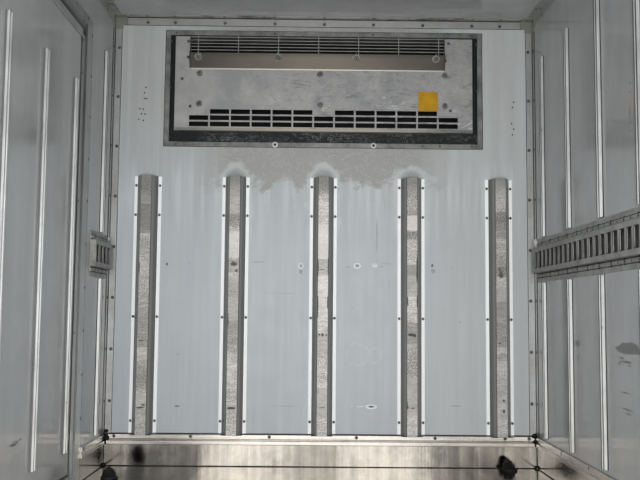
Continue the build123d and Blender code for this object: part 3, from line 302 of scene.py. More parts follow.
def stained_coil_coated_steel():
    """The same skin on the front wall, where years of washing and loading left smears, haloes and rubbed places."""
    made, tree, shader = new_finish("stained_coil_coated_steel", IOR=1.5)
    across, out, up = axes(tree)
    warp = pattern(tree, 16.0, 5.0, 0.65)
    slow = pattern(tree, 2.6, 4.0)
    streak = pattern(tree, 1.5, 5.0, stretch=(20, 20, 0.9))
    smears = pattern(tree, 1.6, 6.0, stretch=(26, 20, 1.6))
    ragged = add(tree, "Math", {"operation": "MULTIPLY_ADD"}, {0: warp, 1: 0.3, 2: up})[0]
    sides = mask(tree, (gap(tree, across, 0.0), 0.52, 0.36))
    # How far a place is from the tops of the three middle ribs, and from the ribs below them
    above = add(tree, "Math", {"operation": "SUBTRACT", "use_clamp": True}, {0: up, 1: RIB_TOP - 0.01})[0]
    nearest = 9.0
    for middle in HAT_MIDDLES[1:4]:
        reach = add(tree, "CombineXYZ", None, {"X": gap(tree, across, middle * MM), "Y": above})[0]
        length = add(tree, "VectorMath", {"operation": "LENGTH"}, {0: reach})["Value"]
        nearest = add(tree, "Math", {"operation": "MINIMUM"}, {0: nearest, 1: length})[0]
    wavy = add(tree, "Math", {"operation": "MULTIPLY_ADD"}, {0: warp, 1: 0.09, 2: nearest})[0]
    # Scuffs are thin wandering lines where slow noise crosses its middle, kept to the rubbed places
    crossing = gap(tree, pattern(tree, 11.0, 7.0, 0.75, 1.2), 0.5)
    rubbed = mask(tree, (ragged, DECK + 1.1, DECK + 1.19), sides)
    rubbed = add(tree, "Math", {"operation": "MULTIPLY_ADD"}, {0: rubbed, 1: 0.8, 2: 0.12})[0]
    inside = layered(
        tree, layered(tree, "#A9AFB5", ("#B3B8BC", slow)),
        # The wall goes from a cool grey low down to a warmer, darker one beside the evaporator, and to a plainer one at
        # right.
        # The cool paleness low down is painted skylight, and the darker upper part is painted shade.
        (layered(tree, "#A2A5A3", ("#A9ADAB", slow)), (up, DECK + 0.85, DECK + 1.45)),
        ("#B2B5B4", (across, 0.1, 0.65, 0.6)),
        ("#BDC2C5", (streak, 0.4, 0.68, 0.5)),
        ("#C6CBCE", (smears, 0.48, 0.66, 0.6), (up, DECK + 0.86, DECK + 1.04), (up, DECK + 1.21, DECK + 1.12)),
        # The rubbed band between the evaporator and the middle ribs, with a ragged lower edge
        ("#999A97", (ragged, DECK + 1.235, DECK + 1.27), sides),
        # A pale halo round the tops of the middle ribs, with a darker ring inside it
        ("#BCC2C4", (wavy, 0.118, 0.1), (wavy, 0.07, 0.095, 0.35, 1.0), (up, DECK + 0.8, DECK + 0.95, 0.75)),
        ("#8C908F", (nearest, 0.052, 0.036, 0.6)),
        ("#CDD1D3", (crossing, 0.006, 0.001, 0.7), rubbed),
        ("#6F7171", (pattern(tree, 60.0, 5.0, 0.7), 0.68, 0.73, 0.6)))
    # Outside, the same skin has only weathered
    rained = layered(tree, "#A7ABAE", ("#B7BCBF", (streak, 0.35, 0.7, 0.4)))
    colour = layered(tree, inside, (rained, (out, FRONT + 0.02, FRONT + 0.04)))
    sheet = add(tree, "Math", {"operation": "MULTIPLY_ADD"}, {0: slow, 1: 5.0, 2: warp})[0]
    dress(tree, shader, colour, (warp, 0.3, 0.7, 0.28, 0.46), (sheet, 0.3))
    return made


def galvanised_hat_steel():
    """Hot-dip galvanised folded sheet: clean bright flanges, leaning webs and a face that loads have scrubbed.

    The flanges' near white is partly bright zinc and partly a painted reflection, and the webs are painted shade.
    """
    made, tree, shader = new_finish("galvanised_hat_steel", IOR=1.5)
    across, out, up = axes(tree)
    # Ticks left by pallets are a few millimetres tall and run across the face
    tick = pattern(tree, 95.0, 6.0, 0.75, stretch=(0.5, 1, 2.2))
    patch = pattern(tree, 5.5, 5.0, 0.7, stretch=(1, 1, 0.8))
    pit = pattern(tree, 190.0, 3.0, 0.6, stretch=(1, 1, 1.3))
    # Each rib wears in bands up its face, where boxes of one height rubbed it
    number = add(tree, "Math", {"operation": "MULTIPLY_ADD"}, {0: across, 1: 1 / (HAT_PITCH * MM), 2: 40.5})[0]
    number = add(tree, "Math", {"operation": "FLOOR"}, {0: number})[0]
    along = add(tree, "Math", {"operation": "MULTIPLY_ADD"}, {0: number, 1: 7.31, 2: up})[0]
    cell = add(tree, "TexVoronoi", {"voronoi_dimensions": "1D"}, {"W": along, "Scale": 9.0})["Color"]
    cell = add(tree, "SeparateColor", None, {"Color": cell})[0]
    slow = add(tree, "TexNoise", {"noise_dimensions": "1D"}, {"W": along, "Scale": 7.0, "Detail": 3.0})[0]
    dirt = add(tree, "Math", {"operation": "MULTIPLY_ADD"}, {0: cell, 1: 0.16, 2: pit})[0]
    dirt = add(tree, "Math", {"operation": "MULTIPLY_ADD"}, {0: slow, 1: 0.5, 2: dirt})[0]
    face = layered(
        tree, "#B9B6B3", ("#E6E2DF", (tick, 0.4, 0.58)),
        ("#77756F", (dirt, 0.83, 0.93, 0.8)),
        ("#8B8B87", (cell, 0.26, 0.2, 0.42)),
        ("#8F908B", (patch, 0.58, 0.7, 0.55)),
        ("#767875", (up, RIB_TOP - 0.09, RIB_TOP - 0.02, 0.7)),
        # The outer ribs are rubbed less, so they stay greyer than the middle one
        ("#71726F", (gap(tree, across, 0.0), 0.1, 0.7, 0.26)))
    ragged = add(tree, "Math", {"operation": "MULTIPLY_ADD"}, {0: tick, 1: 0.03, 2: up})[0]
    for rib, bottom, top, depth, tone in HAT_BANDS:
        beside = add(tree, "Math", {"operation": "COMPARE"}, {0: across, 1: HAT_MIDDLES[rib] * MM, 2: 0.06})[0]
        level = add(tree, "Math", {"operation": "COMPARE"}, {0: ragged, 1: DECK + 0.015 + (bottom + top) / 2 * MM,
                                                             2: (top - bottom) / 2 * MM})[0]
        face = layered(tree, face, (tone, beside, level, (pit, 0.35, 0.62, depth * 0.55, depth * 1.2)))
    # The webs lean and are painted darker as painted shade, darkest at the crease at each end. The face and the flanges
    # lie flat, and the flanges' near white is partly a painted reflection
    proud = gap(tree, out, FRONT)
    painted_web_shade = layered(tree, "#646563", ("#838583", (proud, 0.02, 0.03)), ("#3F403E", (proud, 0.009, 0.007, 0.6)),
                  ("#454644", (proud, 0.037, 0.0395, 0.55)))
    colour = layered(tree, "#F6F8F9", (painted_web_shade, (proud, 0.0031, 0.0033)), (face, (proud, 0.0437, 0.0439)))
    dress(tree, shader, colour, (tick, 0.3, 0.7, 0.3, 0.5), (tick, 0.6))
    return made


def rolled_stainless(name, dark, light, rough, streak, tarnish, dark_patches=()):
    """Cold-rolled stainless sheet: it mirrors its surroundings in soft upright streaks and tarnishes warm in places."""
    made, tree, shader = new_finish(name, Metallic=1.0)
    across, out, _ = axes(tree)
    lines = pattern(tree, 1.0, 5.0, 0.65, stretch=streak)
    cloud = pattern(tree, 4.0, 7.0, 0.7)
    both = add(tree, "Math", {"operation": "MULTIPLY_ADD"}, {0: lines, 1: 0.7, 2: cloud})[0]
    wavy = add(tree, "Math", {"operation": "MULTIPLY_ADD"}, {0: lines, 1: 0.1, 2: across})[0]
    # Darker patches near the front wall, with soft upright sides
    patches = [("#4B4A48", (gap(tree, wavy, middle * MM + 0.05), half * MM + 0.012, half * MM - 0.012, depth),
                (out, FRONT - 0.9, FRONT - 0.35)) for middle, half, depth in dark_patches]
    scratch = gap(tree, pattern(tree, 24.0, 8.0, 0.8, 0.8), 0.5)
    colour = layered(
        tree, dark, (light, (both, 0.62, 1.05)), (tarnish, (cloud, 0.52, 0.75, 0.45)), *patches,
        ("#55514B", (pattern(tree, 120.0, 4.0, 0.7), 0.69, 0.73, 0.55)), (dark, (scratch, 0.012, 0.002, 0.35)))
    dress(tree, shader, colour, (both, 0.6, 1.1, *rough), (lines, 0.4))
    return made


def satin_cover_stainless():
    """Satin stainless cover: brushed once, then mottled by frost and scratched in dark and pale scribbles."""
    made, tree, shader = new_finish("satin_cover_stainless", Metallic=0.4)
    across, _, up = axes(tree)
    cloud = pattern(tree, 7.0, 6.0, 0.62, 0.5)
    wipe = pattern(tree, 15.0, 7.0, 0.72, 1.1, (0.7, 1, 2))
    scribble = gap(tree, pattern(tree, 17.0, 6.0, 0.7, 1.6, (1, 1, 1.6)), 0.5)
    centre = (across, -0.4, 0.0)
    foot = COVER_LOW.z
    colour = layered(
        tree, "#999A9B", ("#B3B3B1", (cloud, 0.38, 0.64)),
        # Wiped frost leaves slanting smears, dark over the middle and right of the cover, pale near its vents
        ("#5C5D5F", (wipe, 0.55, 0.64, 0.6), centre),
        ("#DADCDC", (wipe, 0.42, 0.34, 0.8), (up, foot + 0.22, foot + 0.1), centre),
        # The cover is scratched mostly towards its right, so the scribbles fade out to the left
        ("#5E6060", (scribble, 0.02, 0.004), (across, -0.45, 0.05, 0.05, 0.42)),
        # A painted highlight along its lower lip, brightest at its middle
        ("#EFE2D2", (up, foot + 0.015, foot + 0.009), (gap(tree, across, 0.0), 0.55, 0.2, 0.9)))
    dress(tree, shader, colour, (cloud, 0.35, 0.7, 0.34, 0.5), (cloud, 0.9))
    return made


def dusty_deflector_stainless():
    """Deflector plate: satin stainless, browned by old dust and darker towards its ends."""
    made, tree, shader = new_finish("dusty_deflector_stainless", Metallic=0.55, Roughness=0.36)
    across, _, up = axes(tree)
    cloud = pattern(tree, 5.0, 5.0, stretch=(1, 1, 3))
    wavy = add(tree, "Math", {"operation": "MULTIPLY_ADD"}, {0: cloud, 1: 0.25, 2: gap(tree, across, 0.0)})[0]
    # Painted shade along its top edge, and a painted highlight along its foot
    colour = layered(tree, "#464541", ("#6C665F", (wavy, 0.62, 0.2)), ("#3A3936", (up, DECK + 1.6, DECK + 1.614, 0.5)),
                     ("#D9D5CD", (up, DECK + 1.5625, DECK + 1.5585, 0.85)))
    dress(tree, shader, colour)
    return made


def frosted_rubber_board():
    """Closed-cell rubber board round the cover: near black, with pale scratches where ice was knocked off it."""
    made, tree, shader = new_finish("frosted_rubber_board", IOR=1.5)
    up = axes(tree)[2]
    cloud = pattern(tree, 22.0, 4.0)
    scratch = pattern(tree, 30.0, 6.0, 0.75, 1.5, (0.7, 1, 1.5))
    # The scratches are patchy, and only on the edge below the cover
    colour = layered(tree, "#08090A", ("#1C1F21", cloud),
                     ("#ACB1B3", (gap(tree, scratch, 0.53), 0.012, 0.003, 0.75), (pattern(tree, 5.0, 3.0), 0.42, 0.58),
                      (up, COVER_LOW.z + 0.004, COVER_LOW.z - 0.006)))
    dress(tree, shader, colour, (cloud, 0.0, 1.0, 0.45, 0.75), (scratch, 0.6))
    return made


def anodised_trim():
    """Extruded aluminium with natural anodising: pale and satin, with die lines along it and grey finger marks."""
    look = bpy.context.scene.load_body
    made, tree, shader = new_finish("anodised_trim", Metallic=0.6)
    across, out, up = axes(tree)
    die = pattern(tree, 110.0, 4.0, 0.6)
    smear = pattern(tree, 9.0, 6.0, 0.7)
    both = add(tree, "Math", {"operation": "MULTIPLY_ADD"}, {0: die, 1: 0.4, 2: smear})[0]
    edges = ((gap(tree, across, 0.0), HALF_IN), (up, CEILING), (out, FRONT))
    colour = layered(
        tree, "#BBBBB8", ((*look.trim_colour, 1), (both, 0.5, 0.85)),
        # The upper lengths are painted greyer, as painted shade where less light falls
        ("#7F807D", (up, DECK + 0.5, DECK + 1.6, 0.42)),
        # Dark smudges where the ceiling leg was wiped round each rivet
        ("#4E4E4B", (up, CEILING - 0.006, CEILING - 0.003), (smear, 0.5, 0.6, 0.75)),
        # The moulded corner blocks, 50 mm on a side, are a greener grey than the trims that they join
        ("#92948D", *[(value, edge - 0.0506, edge - 0.0504) for value, edge in edges]))
    dress(tree, shader, colour, (both, 0.4, 0.9, 0.26, 0.46), (die, 0.1))
    return made


def ribbed_aluminium(name, skin):
    """Extruded rib aluminium: its crowns and feet are painted with dark lines of painted shade, and its flanks are
    bright.
    """
    made, tree, shader = new_finish(name)
    die = pattern(tree, 160.0, 3.0, stretch=(1, 1, 0.1))
    smear = pattern(tree, 12.0, 5.0, stretch=(1, 1, 0.5))
    proud = add(tree, "Math", {"operation": "SUBTRACT"}, {0: skin * MM, 1: gap(tree, axes(tree)[0], 0.0)})[0]
    # Painted shade: dark lines on the crowns and along the feet beside the wall
    shaded_crest = mask(tree, (proud, 0.0102, 0.0112, 0.9))
    foot = mask(tree, (proud, 0.0024, 0.0014, 0.85))
    dark = add(tree, "Math", {"operation": "MAXIMUM"}, {0: shaded_crest, 1: foot})[0]
    both = add(tree, "Math", {"operation": "MULTIPLY_ADD"}, {0: die, 1: 0.3, 2: smear})[0]
    colour = layered(tree, "#AAACAC", ("#D2D4D4", (both, 0.45, 0.8)), ("#3B3C3B", dark))
    dress(tree, shader, colour, (smear, 0.3, 0.7, 0.26, 0.42), (die, 0.06), (dark, 0.0, 1.0, 0.6, 0.1))
    return made


def doorway_aluminium():
    """Anodised doorway frame: pale and satin, painted brighter low down as painted light, and black in its soffit and
    rebate as painted shadow.
    """
    made, tree, shader = new_finish("doorway_aluminium", Metallic=0.75)
    _, out, up = axes(tree)
    smear = pattern(tree, 14.0, 5.0, stretch=(1, 1, 0.3))
    # Dark joints between the jamb's folds, by their distance behind the front wall
    joints = [("#343534", (gap(tree, out, FRONT - distance * MM), 0.0042, 0.003, 0.7)) for distance in (354, 425, 468)]
    # The lower lengths are painted brighter as painted light, and the soffit and rebate over the doorway are painted
    # black as painted shadow
    colour = layered(tree, "#8E908F", ("#C9CBCA", smear), ("#E4E7E8", (up, DECK + 1.1, DECK + 0.1, 0.7)), *joints,
                     ("#0D0D0D", (up, DECK + 1.546, DECK + 1.549), (out, FRONT - 0.424, FRONT - 0.43),
                      (up, DECK + 1.592, DECK + 1.57, 0.97)))
    dress(tree, shader, colour, (smear, 0.0, 1.0, 0.2, 0.42))
    return made


def zinc_plated_grille():
    """Zinc-plated grille strip: the front of each slat catches light, and its depth is painted near black as the shade
    of the dark outlet.
    """
    made, tree, shader = new_finish("zinc_plated_grille", Roughness=0.42)
    # Painted shade: the slats' depth is near black and not metal
    depth = mask(tree, (axes(tree)[1], GRILLE_FRONT + 0.0034, GRILLE_FRONT + 0.0042))
    colour = layered(tree, "#7A7B76", ("#B2B3AF", pattern(tree, 24.0, 5.0)), ("#070707", depth))
    dress(tree, shader, colour, metal=(depth, 0.0, 1.0, 0.6, 0.0))
    return made


def opal_lens():
    """Moulded opal polycarbonate: milky, glossy and slightly translucent."""
    made = grained("opal_lens", "#DCDCD6", "#EDEDE8", 0.0, (0.18, 0.3), 30.0, 0.02)
    shader = made.node_tree.nodes["Principled BSDF"]
    shader.inputs["Subsurface Weight"].default_value = 0.15
    shader.inputs["Subsurface Radius"].default_value = (0.01, 0.01, 0.01)
    return made


def ribbed_amber_lens():
    """Moulded amber acrylic: clear colour with fine upright prisms that catch the light."""
    look = bpy.context.scene.load_body
    made, tree, shader = new_finish("ribbed_amber_lens", IOR=1.49, Roughness=0.16)
    wave = add(tree, "TexWave", {"bands_direction": "Y"}, {"Vector": place(tree), "Scale": 60.0})[1]
    dress(tree, shader, layered(tree, "#A8420C", ((*look.lamp_colour, 1), wave)), relief=(wave, 0.8))
    return made


def pressed_fins():
    """Stacked aluminium fins: thin bright edges with painted shade between them, 2 mm apart, drawn at 6 mm to show."""
    made, tree, shader = new_finish("pressed_fins", Metallic=0.6, Roughness=0.45)
    wave = add(tree, "TexWave", {"bands_direction": "X"}, {"Vector": place(tree), "Scale": 52.0})[1]
    dress(tree, shader, layered(tree, "#0B0C0C", ("#8B8E90", (wave, 0.55, 0.85))), relief=(wave, 2.0))
    return made


# Finishes of one even grain: dark, light, metal, roughness, grain and relief in millimetres, blotch and stretch
GRAINED = {
    # Pale cover strip over the doorway's top gap
    "brushed_strip_aluminium": ("#9DA0A0", "#C3C6C6", 0.5, (0.3, 0.45), 30.0, 0.05, 20.0),
    # Aluminium fins deep behind the cover, wet and unlit: their colour is painted near black as the shade they sit in
    "dark_coil_fins": ("#010101", "#050505", 0.0, (0.6, 0.8), 6.0, 0.3, 260.0, (1, 1, 0.2)),
    # Ribs of extruded aluminium, white with oxide, so their crowns are the brightest lines on a wall
    "oxidised_rib_aluminium": ("#B4B7B8", "#D2D5D5", 0.35, (0.28, 0.4), 7.0, 0.05, 90.0, (1, 1, 0.12)),
    # Outdoor extrusions, gone evenly grey with rain and road film
    "weathered_edge_aluminium": ("#A3A6A8", "#C0C3C4", 0.45, (0.3, 0.45), 14.0, 0.05, 120.0),
    # Rail rolled from galvanised strip: dull zinc with soft crystal blotches and dirt, and dark painted shade inside
    # its channel
    "galvanised_rail_steel": ("#6E6F6D", "#A7A8A5", 0.15, (0.36, 0.6), 11.0, 0.1, 60.0),
    "shaded_zinc": ("#3A3B39", "#6E6F6C", 0.0, (0.6, 0.8), 5.0, 0.1, 30.0),
    # Folded trim round the evaporator, dulled by condensate
    "dulled_frame_aluminium": ("#686A68", "#9A9C99", 0.6, (0.32, 0.5), 9.0, 0.08, 60.0),
    # Fine wire and small rings, zinc plated and greyed
    "zinc_plated_wire": ("#77786F", "#A9AAA6", 0.7, (0.3, 0.5), 5.0, 0.05),
    # Brushed chassis paint, black and slightly dusty
    "chassis_paint": ("#17191A", "#303335", 0.0, (0.35, 0.6), 12.0, 0.12),
    # Resin skin of the floor slab, rolled on over glass mat
    "glass_mat_resin": ("#A6A088", "#BEB89F", 0.0, (0.45, 0.65), 6.0, 0.3),
    # Extruded rubber, matt where it is dry and greyed by wear; its black also paints the shade at the deflector's ends
    "rubber_and_painted_shade": ("#0B0B0B", "#222322", 0.0, (0.45, 0.7), 4.0, 0.08),
    # Sprayed housing paint, white and clean, with a faint orange peel
    "sprayed_housing_paint": ("#D3D6D6", "#E4E6E6", 0.0, (0.22, 0.36), 9.0, 0.05, 500.0),
    # Glass-filled nylon, moulded with a fine spark finish
    "moulded_fan_nylon": ("#101111", "#1F2121", 0.0, (0.42, 0.58), 2.5, 0.06),
    # Powder coat on wire: thick, soft-edged and slightly pimpled
    "powder_coated_wire": ("#151617", "#2A2C2D", 0.0, (0.35, 0.5), 3.0, 0.08),
    # Rivet heads: drawn aluminium gone grey, with grime held in the pull holes
    "greyed_rivet_aluminium": ("#5C5D5C", "#8F9090", 0.2, (0.4, 0.6), 4.0, 0.05),
    # Near black, for grime in rivets, screws and old holes, and for the painted shadow round the rail's slots and beads
    "grime_and_painted_shade": ("#0C0C0B", "#232220", 0.0, (0.7, 0.9), 3.0, 0.2),
    # Scuffs: rubber and paint rubbed onto a panel, or a panel's own film rubbed pale, and filler in old holes
    BLACK: ("#3A3B3A", "#6B6C6A", 0.0, (0.5, 0.7), 5.0, 0.02, 30.0),
    SIDE: ("#5F6160", "#7E8080", 0.0, (0.3, 0.5), 5.0, 0.02, 30.0),
    GREY: ("#8C9092", "#9FA3A5", 0.0, (0.4, 0.6), 6.0, 0.02, 40.0),
    PALE: ("#C4C9CB", "#E6E9EA", 0.0, (0.4, 0.6), 6.0, 0.02, 40.0),
    "ring_scuff": ("#B0B6B9", "#BFC5C7", 0.0, (0.4, 0.6), 6.0, 0.02, 40.0),
    "chalky_filler": ("#C9CCCC", "#F1F3F3", 0.0, (0.5, 0.7), 6.0, 0.05, 40.0),
    # Zinc-plated washers and screws, chalky and dull
    "chalky_zinc": ("#5B5C59", "#A2A39E", 0.15, (0.4, 0.62), 3.0, 0.12, 14.0),
    # Gunned sealant: black bead with a skin, and a paler one at the rail's end
    "black_sealant": ("#0A0A0A", "#1D1E1D", 0.0, (0.6, 0.85), 6.0, 0.6),
    "grey_sealant": ("#A3A49F", "#C4C5C0", 0.0, (0.45, 0.6), 6.0, 0.5),
    # Vinyl square: saturated, flat and a little soiled
    "yellow_vinyl": ("#A67B0E", "#C0910F", 0.0, (0.42, 0.55), 10.0, 0.03, 40.0),
}
# Rolled sheet and polished bar: dark, light, roughness, stretch of the streaks, tarnish and dark patches
ROLLED = {
    # Deck sheet worn satin by pallets, with long streaks towards the doors and a warm cast
    "worn_deck_stainless": ("#B8AFA2", "#FBF0E0", (0.1, 0.2), (26, 1.2, 26), "#8A7E72", DECK_DARK_PATCHES),
    # Kick plates keep their mill's mirror, so they repeat the deck and the corner
    "mirror_kick_stainless": ("#878683", "#CCC9C4", (0.09, 0.2), (30, 30, 2), "#8A7E72", KICK_DARK_PATCHES),
    # Skirting moulding, buffed by every load that rubs along it
    "bright_skirting_aluminium": ("#ACABA8", "#DAD8D4", (0.12, 0.26), (3, 3, 90), "#B5AFA7"),
    # Welded stainless frame, ground along its length to a hairline
    "hairline_frame_stainless": ("#A8A9AA", "#D2D3D4", (0.24, 0.38), (2, 2, 160), "#A9A5A0"),
    # Lock bars and straps of polished stainless, with fine draw marks
    "polished_lock_steel": ("#B2B4B5", "#E2E3E4", (0.14, 0.26), (60, 60, 8), "#B7B3AE"),
}
# Ribs with crowns in painted shade, by how far the skin that they stand on is from the middle of the body, in
# millimetres
RIBBED = {"wall_rib_aluminium": (837.5,), "door_rib_aluminium": (839,)}

# Every finish by its name: the functions that make one finish each, then the rows of the three tables
FINISHES = {make.__name__: make for make in (
    coil_coated_steel, stained_coil_coated_steel, galvanised_hat_steel, satin_cover_stainless, frosted_rubber_board,
    anodised_trim, opal_lens, zinc_plated_grille, doorway_aluminium, ribbed_amber_lens, pressed_fins,
    dusty_deflector_stainless)}
for make, table in ((grained, GRAINED), (rolled_stainless, ROLLED), (ribbed_aluminium, RIBBED)):
    FINISHES.update({name: partial(make, name, *values) for name, values in table.items()})


def finish(name):
    """A material by its name, made the first time that it is asked for."""
    return bpy.data.materials.get(name) or FINISHES[name]()


# Meshes: a shape is its points and its faces, and each face names its finish by number
def circle(radius, count, start=0.0):
    """Evenly spaced points round a circle, in x and y."""
    return [(radius * cos(start + 2 * pi * k / count), radius * sin(start + 2 * pi * k / count)) for k in range(count)]


def lathe(profile, sides=16):
    """A shape turned round +Z from (radius, height, finish) steps. A radius of nothing closes it to a point."""
    points, faces, rings = [], [], []
    for radius, height, _ in profile:
        count = sides if radius else 1
        rings.append(range(len(points), len(points) + count))
        points += [(x, y, height) for x, y in circle(radius, count)]
    for (_, _, number), low, high in zip(profile, rings, rings[1:]):
        for k in range(sides):
            corners = (low[k % len(low)], low[(k + 1) % len(low)], high[(k + 1) % len(high)], high[k % len(high)])
            corners = list(dict.fromkeys(corners))
            if len(corners) > 2:
                faces.append((corners, number))
    return points, faces


def prism(outline, depth, number=0, bevel=0.0):
    """A shape drawn up from an outline in x and y, its upper edge cut back by bevel."""
    middle = sum((Vector((x, y, 0)) for x, y in outline), Vector()) / len(outline)
    size = max((Vector((x, y, 0)) - middle).length for x, y in outline)
    inner = [middle + (Vector((x, y, 0)) - middle) * (1 - bevel / size) for x, y in outline]
    n = len(outline)
    points = [(x, y, 0) for x, y in outline] + [(x, y, depth - bevel) for x, y in outline]
    points += [(p.x, p.y, depth) for p in inner]
    faces = [([a + k, a + (k + 1) % n, a + n + (k + 1) % n, a + n + k], number) for a in (0, n) for k in range(n)]
    faces += [(list(range(2 * n, 3 * n)), number), (list(range(n))[::-1], number)]
    return points, faces


def plate(wide, tall, depth, number=0, bevel=0.0):
    """An oblong plate drawn up from its middle."""
    w, t = wide / 2, tall / 2
    return prism([(-w, -t), (w, -t), (w, t), (-w, t)], depth, number, bevel)


def tube(line, radius, sides=8, number=0, closed=False):
    """A round bar along a line of points."""
    line = [Vector(p) for p in line]
    points, faces = [], []
    count = len(line)
    for k, p in enumerate(line):
        ahead = line[(k + 1) % count] if closed or k + 1 < count else p
        behind = line[k - 1] if closed or k else p
        along = (ahead - behind).normalized()
        across = along.cross(Vector(UPWARD) if abs(along.z) < 0.9 else Vector((1, 0, 0))).normalized()
        other = along.cross(across)
        points += [tuple(p + x * across + y * other) for x, y in circle(radius, sides)]
    for k in range(count if closed else count - 1):
        a, b = k * sides, (k + 1) % count * sides
        faces += [([a + s, a + (s + 1) % sides, b + (s + 1) % sides, b + s], number) for s in range(sides)]
    if not closed:
        faces += [(list(range(sides))[::-1], number), (list(range((count - 1) * sides, count * sides)), number)]
    return points, faces


def joined(*shapes):
    """Several shapes as one."""
    points, faces = [], []
    for more, sides in shapes:
        faces += [([k + len(points) for k in corners], number) for corners, number in sides]
        points += list(more)
    return points, faces


def moved(shape, matrix):
    """A shape carried by a matrix."""
    return [tuple(matrix @ Vector(p)) for p in shape[0]], shape[1]


def copies(shape, matrices):
    """A shape set down once for each matrix."""
    return joined(*[moved(shape, matrix) for matrix in matrices])


def facing(point, normal, spin=0.0, size=1.0):
    """The matrix that sets a shape drawn up +Z on a point, pointing along a normal."""
    turn = Vector(UPWARD).rotation_difference(Vector(normal)).to_matrix().to_4x4()
    return Matrix.Translation(point) @ turn @ Matrix.Rotation(spin, 4, "Z") @ Matrix.Scale(size, 4)


def on_wall(across, height, out=0.0, spin=0.0, size=1.0):
    """The matrix that sets a shape on the front wall, pointing at the rear doors."""
    return facing(on_front(across, height, out), INWARD, spin, size)


def upright(turn):
    """The matrix that stands a shape drawn in x and y on its lower edge, then turns it by quarter turns."""
    return Matrix.Rotation(turn * pi / 2, 4, "Z") @ Matrix.Rotation(pi / 2, 4, "X")


def piece(name, body, finishes, shape, sharp=40.0):
    """One object from a shape, with its finishes, riding on a body."""
    points, faces = shape
    mesh = bpy.data.meshes.new(name)
    mesh.from_pydata(points, [], [corners for corners, _ in faces])
    for polygon, (_, number) in zip(mesh.polygons, faces):
        polygon.material_index = number
        polygon.use_smooth = True
    mesh.set_sharp_from_angle(angle=radians(sharp))
    for each in finishes:
        mesh.materials.append(finish(each))
    made = bpy.data.objects.new(name, mesh)
    bpy.context.scene.collection.objects.link(made)
    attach(made, body)
    return made


def soften(names, width, angle=35.0):
    """Rounds the sharp edges of CAD pieces by a modifier, so that they catch light."""
    for name in names:
        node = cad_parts[name]
        weld = node.modifiers.new("join_corners", "WELD")
        weld.merge_threshold = 0.00001
        edge = node.modifiers.new("ease_edges", "BEVEL")
        edge.width = width
        edge.segments = 2
        edge.limit_method = "ANGLE"
        edge.angle_limit = radians(angle)
        edge.use_clamp_overlap = True


def blind_rivet(radius):
    """A domed rivet head with a grimy pull hole and a thin ring of dirt round it."""
    r = radius
    return lathe([(r * 1.35, 0.00006, 1), (r * 1.02, 0.00012, 0), (r, 0.0006, 0), (r * 0.86, 0.0012, 0),
                  (r * 0.62, 0.0017, 0), (r * 0.5, 0.0017, 1), (r * 0.46, 0.0009, 1), (0, 0.0009, 1)], 14)


def washer_screw(radius):
    """A cupped washer with a pan-head screw, and a crossed recess in its head."""
    r = radius
    head = lathe([(r, 0, 0), (r, 0.0008, 0), (r * 0.8, 0.0022, 0), (r * 0.62, 0.0024, 2), (r * 0.56, 0.0016, 2),
                  (r * 0.5, 0.0018, 1), (r * 0.5, 0.0042, 1), (r * 0.42, 0.0056, 1), (r * 0.2, 0.0063, 1),
                  (0, 0.0064, 1)], 20)
    arm = plate(r * 0.6, r * 0.12, 0.0004, 2)
    return joined(head, *[moved(arm, Matrix.Translation((0, 0, 0.0061)) @ Matrix.Rotation(turn, 4, "Z"))
                          for turn in (0.4, 0.4 + pi / 2)])


def bead(pick, start, end, radius, step=0.02):
    """A gunned line of sealant that wanders a little."""
    count = max(3, int((end - start).length / step))
    line = [start.lerp(end, k / count) + Vector([pick.uniform(-0.3, 0.3) * radius for _ in range(3)])
            for k in range(count + 1)]
    return tube(line, radius, 6)


def lump(pick, point, radius, flat):
    """A dab of sealant, flattened along its axes and uneven."""
    shape = lathe([(0, -radius, 0)] + [(radius * cos(a), radius * sin(a), 0) for a in (-1.1, -0.6, 0, 0.6, 1.1)]
                  + [(0, radius, 0)], 12)
    warped = [tuple(p * f + pick.uniform(-0.12, 0.12) * radius for p, f in zip(corner, flat)) for corner in shape[0]]
    return moved((warped, shape[1]), Matrix.Translation(point))


def smudge(pick, wide, tall):
    """A flat mark with a ragged outline."""
    outline = []
    for x, y in circle(MM / 2, 18):
        reach = pick.uniform(0.62, 1.0)
        outline.append((wide * reach * x, tall * reach * y))
    return prism(outline, 0.00012)


def scratched_circle(pick, across, height, wide, tall, stroke):
    """A thin uneven ring rubbed into the front wall."""
    line = []
    for x, y in circle(MM / 2, 26):
        reach = pick.uniform(0.88, 1.08)
        line.append((wide * reach * x, tall * reach * y, 0))
    flat = moved(tube(line, stroke * MM / 2, 6, 0, True), Matrix.Scale(0.03, 4, UPWARD))
    return moved(flat, on_wall(across, height))


def area_light(scene, name, at, towards, size, power, spread=180.0, mirrored=False):
    """A soft oblong light that the camera doesn't see. A mirrored one shows only in reflections."""
    light = bpy.data.lights.new(name, "AREA")
    light.shape = "RECTANGLE"
    light.size, light.size_y = size
    light.energy = power
    light.spread = radians(spread)
    made = bpy.data.objects.new(name, light)
    made.location = at
    made.rotation_euler = (Vector(towards) - Vector(at)).to_track_quat("-Z", "Y").to_euler()
    made.visible_camera = False
    made.visible_glossy = mirrored
    made.visible_diffuse = not mirrored
    scene.collection.objects.link(made)


def pale_floor(name, side):
    """The studio floor: one pale sheet under the body."""
    mesh = bpy.data.meshes.new(name)
    half = side / 2
    mesh.from_pydata([(-half, -half, 0), (half, -half, 0), (half, half, 0), (-half, half, 0)], [], [(0, 1, 2, 3)])
    made, tree, shader = new_finish("pale_floor", Roughness=0.7)
    dress(tree, shader, layered(tree, "#D9DADA", ("#E1E2E2", pattern(tree, 3.0, 4.0))))
    mesh.materials.append(made)
    floor = bpy.data.objects.new(name, mesh)
    bpy.context.scene.collection.objects.link(floor)
    return floor


